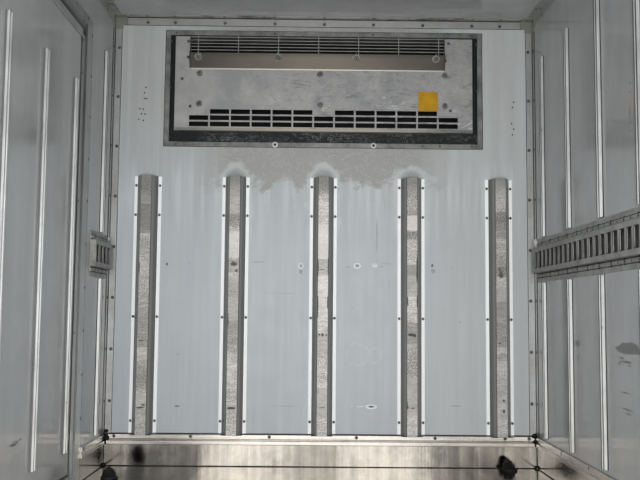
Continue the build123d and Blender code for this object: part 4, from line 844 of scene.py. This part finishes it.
def colour_setting(name, about, code):
    """A colour setting with its default."""
    return bpy.props.FloatVectorProperty(name=name, description=about, subtype="COLOR", size=3, min=0, max=1,
                                         default=linear(code)[:3])


def length_setting(name, about, metres):
    """A length setting with its default."""
    return bpy.props.FloatProperty(name=name, description=about, unit="LENGTH", default=metres)


class LoadBodySettings(bpy.types.PropertyGroup):
    """Sizes and colours that a user would change."""

    panel_colour: colour_setting("Panel colour", "Paint of the wall, roof and door skins", "#ABAEAF")
    trim_colour: colour_setting("Trim colour", "Anodised corner, ceiling and doorway trims", "#D3D6D7")
    lamp_colour: colour_setting("Marker lamp colour", "Lenses of the side marker lamps", "#E4700F")
    rivet_radius: length_setting("Rivet head radius", "Blind rivets along the trims", 0.0048)
    washer_radius: length_setting("Washer radius", "Washers of the cover's screws", 0.0135)
    vinyl_side: length_setting("Vinyl square side", "Plain yellow square on the cover", 0.078)
    edge_width: length_setting("Edge width", "Rounding of folded and extruded edges", 0.0009)
    inside_lamp: bpy.props.FloatProperty(
        name="Inside light", description="Power of the soft light in the rear opening", unit="POWER", default=50.0)


class SetStage(bpy.types.Operator):
    """Adds the camera, the lamps, the floor and the background"""

    bl_idname = "load_body.set_stage"
    bl_label = "Set the Stage"

    def execute(self, context):
        scene = context.scene
        camera = bpy.data.cameras.new("doorway_camera")
        camera.lens = CAMERA_LENS
        camera.sensor_width = 36.0
        camera.clip_start = 0.01
        view = bpy.data.objects.new("doorway_camera", camera)
        turned = Matrix.Translation(CAMERA_AT)
        for degrees, axis in CAMERA_TURNS:
            turned = turned @ Matrix.Rotation(radians(degrees), 4, axis)
        view.matrix_world = turned
        scene.collection.objects.link(view)
        scene.camera = view

        # The bright part of the opening reaches from the deck to three quarters of its height
        middle = DECK + 0.68
        power = scene.load_body.inside_lamp
        area_light(scene, "opening_light", (0, REAR + 0.06, middle), (0, FRONT, middle), (1.62, 1.3), power, 160.0)
        # Sheet metal repeats the opening, at a level that its own colour still shows at
        area_light(scene, "opening_glow", (0, REAR + 0.05, middle), (0, FRONT, middle), (1.64, 1.3), 10.0,
                   mirrored=True)
        area_light(scene, "key_light", (-4.5, -4.2, 5.2), (0, 0, 1.0), (3.5, 3.5), 320.0)
        area_light(scene, "fill_light", (5.0, 4.5, 4.2), (0, 0, 1.0), (4.0, 4.0), 240.0)
        floor = pale_floor("studio_floor", 12.0)

        world = bpy.data.worlds.new("pale_studio")
        scene.world = world
        world.use_nodes = True
        tree = world.node_tree
        tree.nodes.clear()
        path = add(tree, "LightPath")
        seen = path["Is Camera Ray"]
        for ray in ("Is Glossy Ray", "Is Transmission Ray"):
            seen = add(tree, "Math", {"operation": "MAXIMUM"}, {0: seen, 1: path[ray]})[0]
        light = add(tree, "Background", None, {"Color": "#FFFFFF", "Strength": 0.55})[0]
        back = add(tree, "Background", None, {"Color": "#F4F2EF", "Strength": 1.0})[0]
        mixed = add(tree, "MixShader", None, {0: seen, 1: light, 2: back})[0]
        add(tree, "OutputWorld", None, {"Surface": mixed})
        scene.view_settings.view_transform = "Standard"
        return {"FINISHED"}


class FinishPieces(bpy.types.Operator):
    """Gives every CAD piece its finish and softens its folded edges"""

    bl_idname = "load_body.finish_pieces"
    bl_label = "Finish the Body's Pieces"

    def execute(self, context):
        rear_doors = ("left_rear_door", "right_rear_door")
        finishes = {
            "stained_coil_coated_steel": ["front_wall"],
            "coil_coated_steel": ["left_wall", "right_wall", "roof_panel", "side_door", *rear_doors],
            "galvanised_hat_steel": ["front_wall_ribs"],
            "wall_rib_aluminium": ["side_wall_ribs"],
            "door_rib_aluminium": ["side_door_ribs"],
            "doorway_aluminium": ["side_doorway_frame"],
            "bright_skirting_aluminium": ["skirting_trims"],
            "oxidised_rib_aluminium": [door + "_ribs" for door in rear_doors],
            "galvanised_rail_steel": ["lashing_rails"],
            "anodised_trim": ["corner_trims", "ceiling_trims"],
            "weathered_edge_aluminium": ["outer_edge_rails", "lower_side_rails"],
            "mirror_kick_stainless": ["kick_plates"],
            "worn_deck_stainless": ["floor_plate"],
            "dulled_frame_aluminium": ["evaporator_frame"],
            "satin_cover_stainless": ["evaporator_cover"],
            "frosted_rubber_board": ["evaporator_seal"],
            "dark_coil_fins": ["evaporator_block"],
            "zinc_plated_grille": ["outlet_grille"],
            "dusty_deflector_stainless": ["outlet_deflector"],
            "opal_lens": ["ceiling_lamp"],
            "hairline_frame_stainless": ["rear_frame"],
            "polished_lock_steel": [*[door + "_hardware" for door in rear_doors], "side_door_hardware",
                                    "side_door_fittings", "rear_door_fittings"],
            "rubber_and_painted_shade": ["side_door_gasket", *[door + "_gasket" for door in rear_doors], "rear_buffers",
                                "drain_plugs"],
            "chassis_paint": ["long_sills", "cross_members"],
            "glass_mat_resin": ["floor_panel"],
            "sprayed_housing_paint": ["condenser_housing"],
            "pressed_fins": ["condenser_coil"],
            "powder_coated_wire": ["fan_guards"],
            "moulded_fan_nylon": ["condenser_fan_left", "condenser_fan_right"],
            "ribbed_amber_lens": ["side_marker_lamps"],
        }
        missing = set(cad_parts) - {name for names in finishes.values() for name in names}
        if missing:
            raise RuntimeError("no finish for " + ", ".join(sorted(missing)))
        for material, names in finishes.items():
            for name in names:
                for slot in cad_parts[name].material_slots:
                    slot.material = finish(material)
        soften(["side_wall_ribs", "side_door_ribs", *[door + "_ribs" for door in rear_doors], "skirting_trims",
                "front_wall_ribs", "evaporator_frame", "corner_trims", "ceiling_trims"],
               context.scene.load_body.edge_width)
        return {"FINISHED"}


class AddRivets(bpy.types.Operator):
    """Adds the blind rivets along trims, ribs, skirting, frames and doorway"""

    bl_idname = "load_body.add_rivets"
    bl_label = "Add Rivets"

    def execute(self, context):
        corner_heights = [246.3 + 199.3 * k for k in range(8)]
        jamb_heights = (221, 370, 522, 673, 825, 977, 1127, 1277, 1425, 1575)
        ceiling = (-706.5, -597, -398, -198, 0, 197, 395, 593, 705.5)
        # Front wall: across, height, how far the sheet stands out, and the rivet's size
        front = [(side * CORNER_RIVETS, height, 2, 1.0) for side in (-1, 1) for height in corner_heights]
        front += [(side * 816, 1744, 2, 0.9) for side in (-1, 1)]
        front += [(side * 611, height, 3, 0.7) for side in (-1, 1) for height in (1281, 1481, 1670)]
        front += [(across, CEILING_RIVETS, 2, 1.0) for across in ceiling]
        front += [(middle + foot, height, 2, 0.85) for middle in HAT_MIDDLES for foot in (-HAT_RIVETS, HAT_RIVETS)
                  for height in (171.4, 571.5, 970.5, 1086.8)]
        front += [(across, SKIRTING_RIVETS, 9, 1.0) for across in (-796, -501.5, -199, 137, 440.4, 711.4, 804)]
        front += [(across, height, 3, 0.7) for across, height in (
            (-586, 1254), (-198, 1705), (195, 1705), (394, 1255), (463, 1255), (590, 1255), (-590, 1705), (590, 1705))]
        places = [on_wall(across, height, out, size=size) for across, height, out, size in front]
        # Side walls: side, distance, height, how far the sheet stands out, and the rivet's size
        walls = [(side, 18, height, 2, 1.0) for side in (-1, 1) for height in corner_heights]
        walls += [(side, distance, CEILING_RIVETS, 2, 1.0) for side in (-1, 1) for distance in RIVETS_ALONG]
        walls += [(1, distance, SKIRTING_RIVETS, 9, 1.0) for distance in range(60, 3000, 300)]
        walls += [(-1, distance, SKIRTING_RIVETS, 9, 1.0) for distance in (60, 330, *range(1500, 3000, 300))]
        walls += [(-1, distance, height, 2, 1.0) for distance in (360, 1458) for height in jamb_heights]
        walls += [(-1, distance, 1618, 2, 1.0) for distance in range(420, 1420, 150)]
        walls += [(-1, 458, height, -4, 0.8) for height in (516, 965, 1410, 1528)]
        places += [facing(on_side(side, distance, height, out), (-side, 0, 0), size=size)
                   for side, distance, height, out, size in walls]
        under = [(across * MM, FRONT - 0.022) for across in ceiling]
        under += [(side * (HALF_IN - 0.022), FRONT - distance * MM) for side in (-1, 1)
                  for distance in RIVETS_ALONG]
        places += [facing(Vector((x, y, CEILING - 0.002)), DOWNWARD) for x, y in under]
        piece("trim_rivets", "box", RIVET_LOOK,
              copies(blind_rivet(context.scene.load_body.rivet_radius), places))
        return {"FINISHED"}


class AddFootRivets(bpy.types.Operator):
    """Adds the larger pale-ringed rivets that hold the evaporator frame's foot"""

    bl_idname = "load_body.add_foot_rivets"
    bl_label = "Add Frame Foot Rivets"

    def execute(self, context):
        ring = lathe([(0.0115, 0, 0), (0.0115, 0.0006, 0), (0.006, 0.0012, 0), (0.0052, 0.0012, 1),
                      (0.0048, 0.0022, 1), (0.0026, 0.003, 1), (0, 0.003, 1)], 18)
        places = [on_wall(across, 1255, 3) for across in (-192, 199)]
        piece("frame_foot_rivets", "box", ["oxidised_rib_aluminium", "grime_and_painted_shade"], copies(ring, places))
        return {"FINISHED"}


class AddCoverScrews(bpy.types.Operator):
    """Adds the washer screws and small screws of the evaporator cover and deflector"""

    bl_idname = "load_body.add_cover_screws"
    bl_label = "Add Cover Screws"

    def execute(self, context):
        places = [(x, h) for x in (-495.6, -15, 482.8) for h in (1540, 1416.5)]
        matrices = [on_wall(x, h, COVER_FACE, spin=0.7 * k) for k, (x, h) in enumerate(places)]
        # The deflector leans out 25 mm over its 60 mm of height, so its screws lean with it
        lean = Vector((0, -60, -25)).normalized()
        out = COVER_FACE + 25 * (1602 - 1557) / 60
        matrices += [facing(on_front(across, 1602, out), lean, spin=1.1 * k, size=1.12)
                     for k, across in enumerate(DEFLECTOR_SCREWS)]
        piece("cover_washer_screws", "box", ["chalky_zinc", "greyed_rivet_aluminium", "grime_and_painted_shade"],
              copies(washer_screw(context.scene.load_body.washer_radius), matrices))
        # Painted shade: near-black lines down both ends of the deflector
        end_shade_lines = [tube([on_front(x, 1636, 7), on_front(x, 1617, 25), on_front(x, 1560, 9)], 0.0016, 6)
                for x in (-534, 481)]
        piece("deflector_end_shade_lines", "box", ["rubber_and_painted_shade"], joined(*end_shade_lines))
        wires = [tube([on_front(x, 1634, 7), on_front(x, 1620, 30.5), on_front(x, 1606, 27.5)], 0.0014, 6)
                 for x in DEFLECTOR_SCREWS]
        piece("deflector_wires", "box", ["zinc_plated_wire"], joined(*wires))
        small = [(-543, 1605), (-543, 1670), (-565, 1517), (486, 1601), (-531, 1406), (499, 1672), (505, 1398)]
        shape = copies(blind_rivet(0.0045), [on_wall(x, h, COVER_FACE) for x, h in small])
        piece("cover_rivets", "box", RIVET_LOOK, shape)
        return {"FINISHED"}


class AddVinylSquare(bpy.types.Operator):
    """Adds a plain square of yellow vinyl to the cover"""

    bl_idname = "load_body.add_vinyl_square"
    bl_label = "Add Vinyl Square"

    def execute(self, context):
        half = context.scene.load_body.vinyl_side / 2
        cut = 0.003
        corners = []
        for turn, (x, y) in enumerate(((1, 1), (-1, 1), (-1, -1), (1, -1))):
            for k in range(4):
                angle = turn * pi / 2 + k * pi / 6
                corners.append(((half - cut) * x + cut * cos(angle), (half - cut) * y + cut * sin(angle)))
        shape = moved(prism(corners, 0.0004, 0, 0.0001), on_wall(416, 1435, COVER_FACE))
        piece("yellow_square", "box", ["yellow_vinyl"], shape)
        return {"FINISHED"}


class AddDrainPlugs(bpy.types.Operator):
    """Adds the two rubber drain plugs in place of their plain solids"""

    bl_idname = "load_body.add_drain_plugs"
    bl_label = "Add Drain Plugs"

    def execute(self, context):
        # Four soft ridges above the flange, each a little smaller than the last
        steps = [(0.0235, 0, 0), (0.0302, 0.001, 0), (0.0308, 0.0045, 0), (0.0285, 0.0075, 0), (0.0205, 0.009, 0)]
        for k in range(4):
            foot, wide = 0.0103 + 0.0064 * k, 0.0262 - 0.0026 * k
            steps += [(wide - 0.006, foot, 0), (wide - 0.0006, foot + 0.0012, 0), (wide, foot + 0.0025, 0),
                      (wide - 0.0012, foot + 0.0041, 0), (wide - 0.0075, foot + 0.0052, 0)]
        body = lathe(steps + [(0.009, 0.0353, 0), (0, 0.0362, 0)], 28)
        tab = [(-0.0105, 0), (0.0105, 0), (0.0115, 0.006), (0.0065, 0.0105), (-0.0065, 0.0105), (-0.0115, 0.006)]
        tab = moved(prism(tab, 0.007, 0, 0.001), Matrix.Translation((0, 0.0035, 0.0335)) @ upright(0))
        ring = tube([(x, 0, z) for x, z in circle(0.0062, 20)], 0.0014, 8, 1, True)
        ring = moved(ring, Matrix.Translation((0.022, -0.012, 0.023)))
        # Loads have pushed each stopper over, on a flange that still lies flat
        hinge, flange = Vector((0, 0, 0.006)), 0.0076
        lean = Matrix.Translation(hinge) @ Matrix.Rotation(radians(-17), 4, "Y") @ Matrix.Translation(-hinge)
        upper = [(x, y, z) if z < flange else tuple(lean @ Vector((x, y, z))) for x, y, z in body[0]]
        stopper = joined((upper, body[1]), moved(tab, lean), moved(ring, lean))
        right = (PLUG_HIGH.x - PLUG_RADIUS, PLUG_HIGH.y - PLUG_RADIUS, DECK)
        left = (PLUG_LOW.x + PLUG_RADIUS, PLUG_LOW.y + PLUG_RADIUS, DECK)
        shape = copies(stopper, [Matrix.Translation(at) @ Matrix.Rotation(radians(turn), 4, "Z")
                                 for at, turn in ((right, -8), (left, 70))])
        made = piece("rubber_drain_plugs", "box", ["rubber_and_painted_shade", "zinc_plated_wire"], shape, 60.0)
        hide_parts("drain_plugs")
        return {"FINISHED"}


class AddSealant(bpy.types.Operator):
    """Adds the gunned sealant in the corners and at the rail's end"""

    bl_idname = "load_body.add_sealant"
    bl_label = "Add Sealant"

    def execute(self, context):
        pick = Random(7)
        black = []
        for side in (-1, 1):
            # The corner between the kick plates, the one between the skirtings, and dabs over the skirtings' ends
            black.append(bead(pick, on_side(side, 2, 4, 2), on_side(side, 2, 78, 2), 0.0022))
            black.append(bead(pick, on_side(side, 9, 84, 9), on_side(side, 9, 122, 9), 0.0045))
            for _ in range(9):
                spot = on_side(side, pick.uniform(5, 16), pick.uniform(100, 136), pick.uniform(5, 16))
                size = pick.uniform(0.004, 0.008)
                black.append(lump(pick, spot, size, [pick.uniform(0.6, 1.5) for _ in range(3)]))
            black.append(lump(pick, on_side(side, 7, 6, 7), 0.005, (1.1, 1, 0.9)))
            # Lines along the deck's edge and along the skirting's top
            black.append(bead(pick, on_front(0, 1.2, 2.4), on_front(side * 834, 1.2, 2.4), 0.0016, 0.05))
            black.append(bead(pick, on_front(0, 124.6, 1.4), on_front(side * 826, 124.6, 1.4), 0.0014, 0.04))
        for side, end in ((1, 3020), (-1, 350)):
            black.append(bead(pick, on_side(side, 12, 1.2, 2.4), on_side(side, end, 1.2, 2.4), 0.0016, 0.06))
        # Both edges of the corner trims, and the corner itself
        for side in (-1, 1):
            black.append(bead(pick, on_front(side * 808.8, 125, 0.9), on_front(side * 808.8, 1716, 0.9), 0.0012, 0.1))
            for deep, out, radius in ((28.8, 0.9, 0.0012), (3.2, 3.2, 0.0011)):
                black.append(bead(pick, on_side(side, deep, 125, out), on_side(side, deep, 1716, out), radius, 0.1))
        # Thin lines along the ceiling trim and round the evaporator's frame: ends and how far they stand out
        for x0, z0, x1, z1, out in (
                (-800, 1734.8, 800, 1734.8, 0.9), (-800, 1764.5, 800, 1764.5, 3.2), (-612, 1264, -612, 1696, 1.2),
                (612, 1264, 612, 1696, 1.2), (-612, 1265, 612, 1265, 1.2), (-633.5, 1244.5, 633.5, 1244.5, 1.2),
                (-633.5, 1715.5, 633.5, 1715.5, 1.2), (-633.5, 1244.5, -633.5, 1715.5, 1.2),
                (633.5, 1244.5, 633.5, 1715.5, 1.2)):
            black.append(bead(pick, on_front(x0, z0, out), on_front(x1, z1, out), 0.0011, 0.1))
        # Under the foot of each hat rib, on the skirting
        for middle in HAT_MIDDLES:
            black.append(bead(pick, on_front(middle - 41, 123.4, 43), on_front(middle + 41, 123.4, 43), 0.0016, 0.03))
        piece("black_sealant_beads", "box", ["black_sealant"], joined(*black), 80.0)
        # Dark lines along both feet of each side rib, except where the doorway is
        lines = []
        behind_doorway = [RIB_FIRST + RIB_PITCH * k for k in (0, 5, 6, 7, 8)]
        for side, distances in ((1, range(RIB_FIRST, 2800, RIB_PITCH)), (-1, behind_doorway)):
            for distance in distances:
                for z0, z1 in RIB_SPANS:
                    for at in (distance - 15.8, distance + 15.8):
                        lines.append(bead(pick, on_side(side, at, z0, 0.4), on_side(side, at, z1, 0.4), 0.0015, 0.3))
        piece("rib_foot_lines", "box", ["black_sealant"], joined(*lines), 80.0)
        grey = [lump(pick, on_side(1, 44, 873, 9), 0.009, (1, 1.2, 1.6)),
                lump(pick, on_side(1, 50, 858, 9), 0.007, (1, 1, 1.2)),
                lump(pick, on_side(-1, 44, 870, 9), 0.007, (1, 1, 1.3))]
        piece("grey_sealant_lumps", "box", ["grey_sealant"], joined(*grey), 80.0)
        return {"FINISHED"}


class AddRailMarks(bpy.types.Operator):
    """Adds the rail's punched notches and dots, painted shadow round its slots and along its beads, and a sheet of
    painted shade behind its slots
    """

    bl_idname = "load_body.add_rail_marks"
    bl_label = "Add Rail Notches"

    def execute(self, context):
        notch = plate(0.0064, 0.0098, 0.0002)
        tick = plate(0.0068, 0.0024, 0.0022)
        dot = lathe([(0.0034, 0, 0), (0.0034, 0.0002, 0), (0, 0.0002, 0)], 10)
        shapes, shade_sheets_and_caps = [], []
        for side, start, end in RAIL_RUNS:
            normal = (-side, 0, 0)
            inner, outer = upright(side), upright(-side)
            first, last = int((start - SLOT_FIRST) / SLOT_PITCH) + 1, int((end - 30 - SLOT_FIRST) / SLOT_PITCH)
            for k in range(first - 2, last):
                bar = SLOT_FIRST + SLOT_PITCH * (k + 0.5)
                if bar < start + 12:
                    continue
                for height in RAIL_LIPS:
                    shapes.append(moved(dot if k % 2 else notch, facing(on_side(side, bar, height, 7), normal)))
                    if k % 2 == 0:
                        shapes += [moved(tick, facing(on_side(side, bar, height + ledge, 4.9), normal))
                                   for ledge in (-7.4, 7.4)]
            for k in range(first - 1, last + 1):
                slot = SLOT_FIRST + SLOT_PITCH * k
                if slot - 17 < start or slot + 17 > end:
                    continue
                # Painted shadow rims of one slot: along, up, width and height
                for along, up, wide, tall in ((-17.6, 0, 2.6, 62), (17.6, 0, 2.6, 62), (0, 29.9, 38, 2.2),
                                              (0, -29.9, 38, 2.2)):
                    at = on_side(side, slot + along, RAIL_MIDDLE + up, 23)
                    shapes.append(moved(plate(wide * MM, tall * MM, 0.0002), Matrix.Translation(at) @ outer))
            # A dark sheet of painted shade lies on the wall behind the slots, and a small plate closes each end of the
            # channel
            middle, long = (start + end) / 2, (end - start) * MM - 0.004
            shade_sheet = plate(long, 0.09, 0.0004)
            back = inner @ Matrix.Rotation(pi, 4, "Y")
            shade_sheets_and_caps.append(moved(shade_sheet, Matrix.Translation(on_side(side, middle, RAIL_MIDDLE, 0.5)) @ back))
            cap = prism([(0.001, -0.0455), (0.0225, -0.0455), (0.0225, 0.0455), (0.001, 0.0455)], 0.002, 1)
            mirror = Matrix.Scale(-side, 4, (1, 0, 0))
            shade_sheets_and_caps += [moved(cap, Matrix.Translation(on_side(side, distance, RAIL_MIDDLE)) @ mirror @ upright(0))
                         for distance in (start + 2, end - 0.5)]
            # Painted shadow lines above and below each bead
            line = plate(long, 0.003, 0.0003)
            shapes += [moved(line, Matrix.Translation(on_side(side, middle, height + ledge, 2.5)) @ back)
                       for height in RAIL_LIPS for ledge in (-7.6, 7.6)]
        piece("rail_notches_and_shadows", "box", ["grime_and_painted_shade"], joined(*shapes))
        piece("rail_shade_sheets_and_caps", "box", ["shaded_zinc", "galvanised_rail_steel"], joined(*shade_sheets_and_caps))
        return {"FINISHED"}


class AddWallMarks(bpy.types.Operator):
    """Adds the old screw holes, filled holes and scuffs of the walls"""

    bl_idname = "load_body.add_wall_marks"
    bl_label = "Add Wall Marks"

    def execute(self, context):
        hole = lathe([(0.0032, 0.00008, 0), (0.0026, 0.0003, 0), (0.0018, 0.0002, 0), (0, 0.0001, 0)], 10)
        shape = copies(hole, [on_wall(x, h) for x, h in OLD_HOLES])
        piece("old_screw_holes", "box", ["grime_and_painted_shade"], shape)
        pick = Random(11)
        marks = {BLACK: [], SIDE: [], GREY: [], PALE: []}
        for across, height, wide, tall, tone in FRONT_SCUFFS:
            marks[tone].append(moved(smudge(pick, wide, tall), on_wall(across, height)))
        # The marks at the left are on the side door, whose inner face is 1.4 mm behind the wall's
        for side, distance, height, wide, tall, tone in SIDE_SCUFFS:
            at = on_side(side, distance, height, 0 if side > 0 else -1.4)
            marks[tone].append(moved(smudge(pick, wide, tall), Matrix.Translation(at) @ upright(-side)))
        for rib, height, offset, wide, tall in HAT_SCUFFS:
            at = on_wall(HAT_MIDDLES[rib] + offset, height, HAT_DEPTH)
            marks[BLACK].append(moved(smudge(pick, wide, tall), at))
        for tone, shapes in marks.items():
            piece(tone + "s", "box", [tone], joined(*shapes))
        # Rings: across, height, width, height and stroke
        for name, tone, rings in (
                ("scratched_ring", "ring_scuff", ((140, 433, 88, 86, 12), (206, 428, 50, 60, 7))),
                ("filled_hole_rims", "chalky_filler", ((137, 777, 24, 20, 4), (-84, 775, 18, 22, 3),
                                                       (194, 231, 40, 14, 4)))):
            shapes = [scratched_circle(pick, *ring) for ring in rings]
            piece(name, "box", [tone], joined(*shapes))
        return {"FINISHED"}


class AddNoseDetails(bpy.types.Operator):
    """Adds guard rings, louvre blades and screws to the nose unit"""

    bl_idname = "load_body.add_nose_details"
    bl_label = "Add Nose Unit Details"

    def execute(self, context):
        low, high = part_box("condenser_housing")
        guard_low, guard_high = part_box("fan_guards")
        height = (guard_low.z + guard_high.z) / 2
        rings, screws = [], []
        for side in (-1, 1):
            fan = side * FAN_MIDDLE
            for radius in (0.05, 0.1, 0.15, 0.168):
                ring = [(fan + x, high.y + 0.0018, height + z) for x, z in circle(radius, 48)]
                rings.append(tube(ring, 0.0017, 6, 0, True))
            for k, (x, z) in enumerate(circle(FAN_SCREWS, 8, pi / 8)):
                screws.append(facing(Vector((fan + x, high.y, height + z)), (0, 1, 0), spin=k, size=0.55))
        piece("guard_rings", "box", ["powder_coated_wire"], joined(*rings), 80.0)
        # The housing's upper front corner is cut off, so its end plates have no screw there
        corners = [(0.03, low.z + 0.06), (0.03, (low.z + high.z) / 2), (0.03, high.z - 0.06), (0.3, low.z + 0.06),
                   (0.3, (low.z + high.z) / 2)]
        screws += [facing(Vector((side * high.x, NOSE + y, z)), (side, 0, 0), size=0.6)
                   for side in (-1, 1) for y, z in corners]
        piece("housing_screws", "box", ["chalky_zinc", "polished_lock_steel", "grime_and_painted_shade"],
              copies(washer_screw(0.0135), screws))
        blades = []
        outline = [(0, 0), (0.0012, 0), (0.012, 0.0175), (0.0108, 0.0182)]
        faces = [([0, 1, 2, 3], 0), ([7, 6, 5, 4], 0)]
        faces += [([a, a + 4, (a + 1) % 4 + 4, (a + 1) % 4], 0) for a in range(4)]
        for side in (-1, 1):
            for k in range(6):
                z = low.z + LOUVRE_FOOT + LOUVRE_PITCH * k
                blades.append(([(side * (high.x - 0.0045 - out), y, z + up) for y in LOUVRE_ENDS
                                for out, up in outline], faces))
        piece("louvre_blades", "box", ["sprayed_housing_paint"], joined(*blades))
        return {"FINISHED"}


class AddDoorDetails(bpy.types.Operator):
    """Adds bolts to the door straps, and a strip over the side doorway's top gap"""

    bl_idname = "load_body.add_door_details"
    bl_label = "Add Door Details"

    def execute(self, context):
        bolt = joined(lathe([(0.0085, 0, 0), (0.0085, 0.001, 0), (0.0062, 0.0013, 0)], 16),
                      moved(prism(circle(0.0058, 6), 0.0045, 0, 0.0006), Matrix.Translation((0, 0, 0.001))))
        alongs = (0.09, 0.16, 0.25)
        # Folded back, a rear door's outer face is turned to the side wall, as far beyond its pin as the pin stands out
        pin = Vector((HALF_OUT + PIN_OUT, REAR - PIN_AHEAD, 0))
        for side, name in ((1, "right_rear_door"), (-1, "left_rear_door")):
            places = [facing(Vector((side * (pin.x + PIN_OUT), pin.y + along, DECK + h * MM)), (-side, 0, 0),
                             spin=along * 9) for h in (180, 900, 1600) for along in alongs]
            piece(name + "_strap_bolts", name, ["polished_lock_steel"], copies(bolt, places))
        strip = moved(plate(0.88, 0.029, 0.0014, 0, 0.0004),
                      Matrix.Translation(on_side(-1, 909, 1548.5, -4)) @ upright(1))
        piece("header_stop_strip", "box", ["brushed_strip_aluminium"], strip)
        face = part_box("side_door")[0].x
        places = [facing(Vector((face - 0.008, FRONT - 0.386 - along, DECK + h * MM)), (-1, 0, 0), spin=along * 9)
                  for h in (260, 1340) for along in alongs]
        piece("side_door_strap_bolts", "side_door", ["polished_lock_steel"], copies(bolt, places))
        return {"FINISHED"}


class AddOuterRivets(bpy.types.Operator):
    """Adds rivets along the outer edge angles, the roof sheet and the lower rails"""

    bl_idname = "load_body.add_outer_rivets"
    bl_label = "Add Outer Rivets"

    def execute(self, context):
        along = [FRONT - d * MM for d in range(-60, 3000, 120)]
        heights = [DECK + z * MM for z in range(80, 1760, 120)]
        places = []
        for side in (-1, 1):
            normal = (side, 0, 0)
            edge = side * (HALF_OUT + 0.004)
            places += [facing(Vector((edge, y, ROOF - 0.04)), normal) for y in along]
            places += [facing(Vector((side * (HALF_OUT - 0.076), y, ROOF)), UPWARD) for y in along]
            places += [facing(Vector((edge, NOSE - 0.04, z)), normal) for z in heights]
            places += [facing(Vector((side * (HALF_OUT - 0.04), NOSE + 0.004, z)), (0, 1, 0)) for z in heights]
            places += [facing(Vector((side * (HALF_OUT + 0.005), FRONT - d * MM, 0.235)), normal)
                       for d in range(20, 3000, 150)]
        places += [facing(Vector((x * MM, NOSE - 0.076, ROOF)), UPWARD) for x in range(-780, 800, 120)]
        piece("outer_rivets", "box", RIVET_LOOK, copies(blind_rivet(0.0052), places))
        return {"FINISHED"}


STEPS = (SetStage, FinishPieces, AddRivets, AddFootRivets, AddCoverScrews, AddVinylSquare, AddDrainPlugs, AddSealant,
         AddRailMarks, AddWallMarks, AddNoseDetails, AddDoorDetails, AddOuterRivets)


class LoadBodyPanel(bpy.types.Panel):
    """Lists the steps that finish the load body"""

    bl_idname = "VIEW3D_PT_load_body"
    bl_label = "Load Body"
    bl_space_type = "VIEW_3D"
    bl_region_type = "UI"
    bl_category = "Load Body"

    def draw(self, context):
        look = context.scene.load_body
        for name in LoadBodySettings.__annotations__:
            self.layout.prop(look, name)
        for step in STEPS:
            self.layout.operator(step.bl_idname)


CLASSES = (LoadBodySettings, *STEPS, LoadBodyPanel)


def register():
    for each in CLASSES:
        bpy.utils.register_class(each)
    bpy.types.Scene.load_body = bpy.props.PointerProperty(type=LoadBodySettings)


def unregister():
    del bpy.types.Scene.load_body
    for each in reversed(CLASSES):
        bpy.utils.unregister_class(each)


def main():
    """Runs every step in order."""
    register()
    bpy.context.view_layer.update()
    for step in STEPS:
        group, name = step.bl_idname.split(".")
        getattr(getattr(bpy.ops, group), name)()


if __name__ == "__main__":
    main()
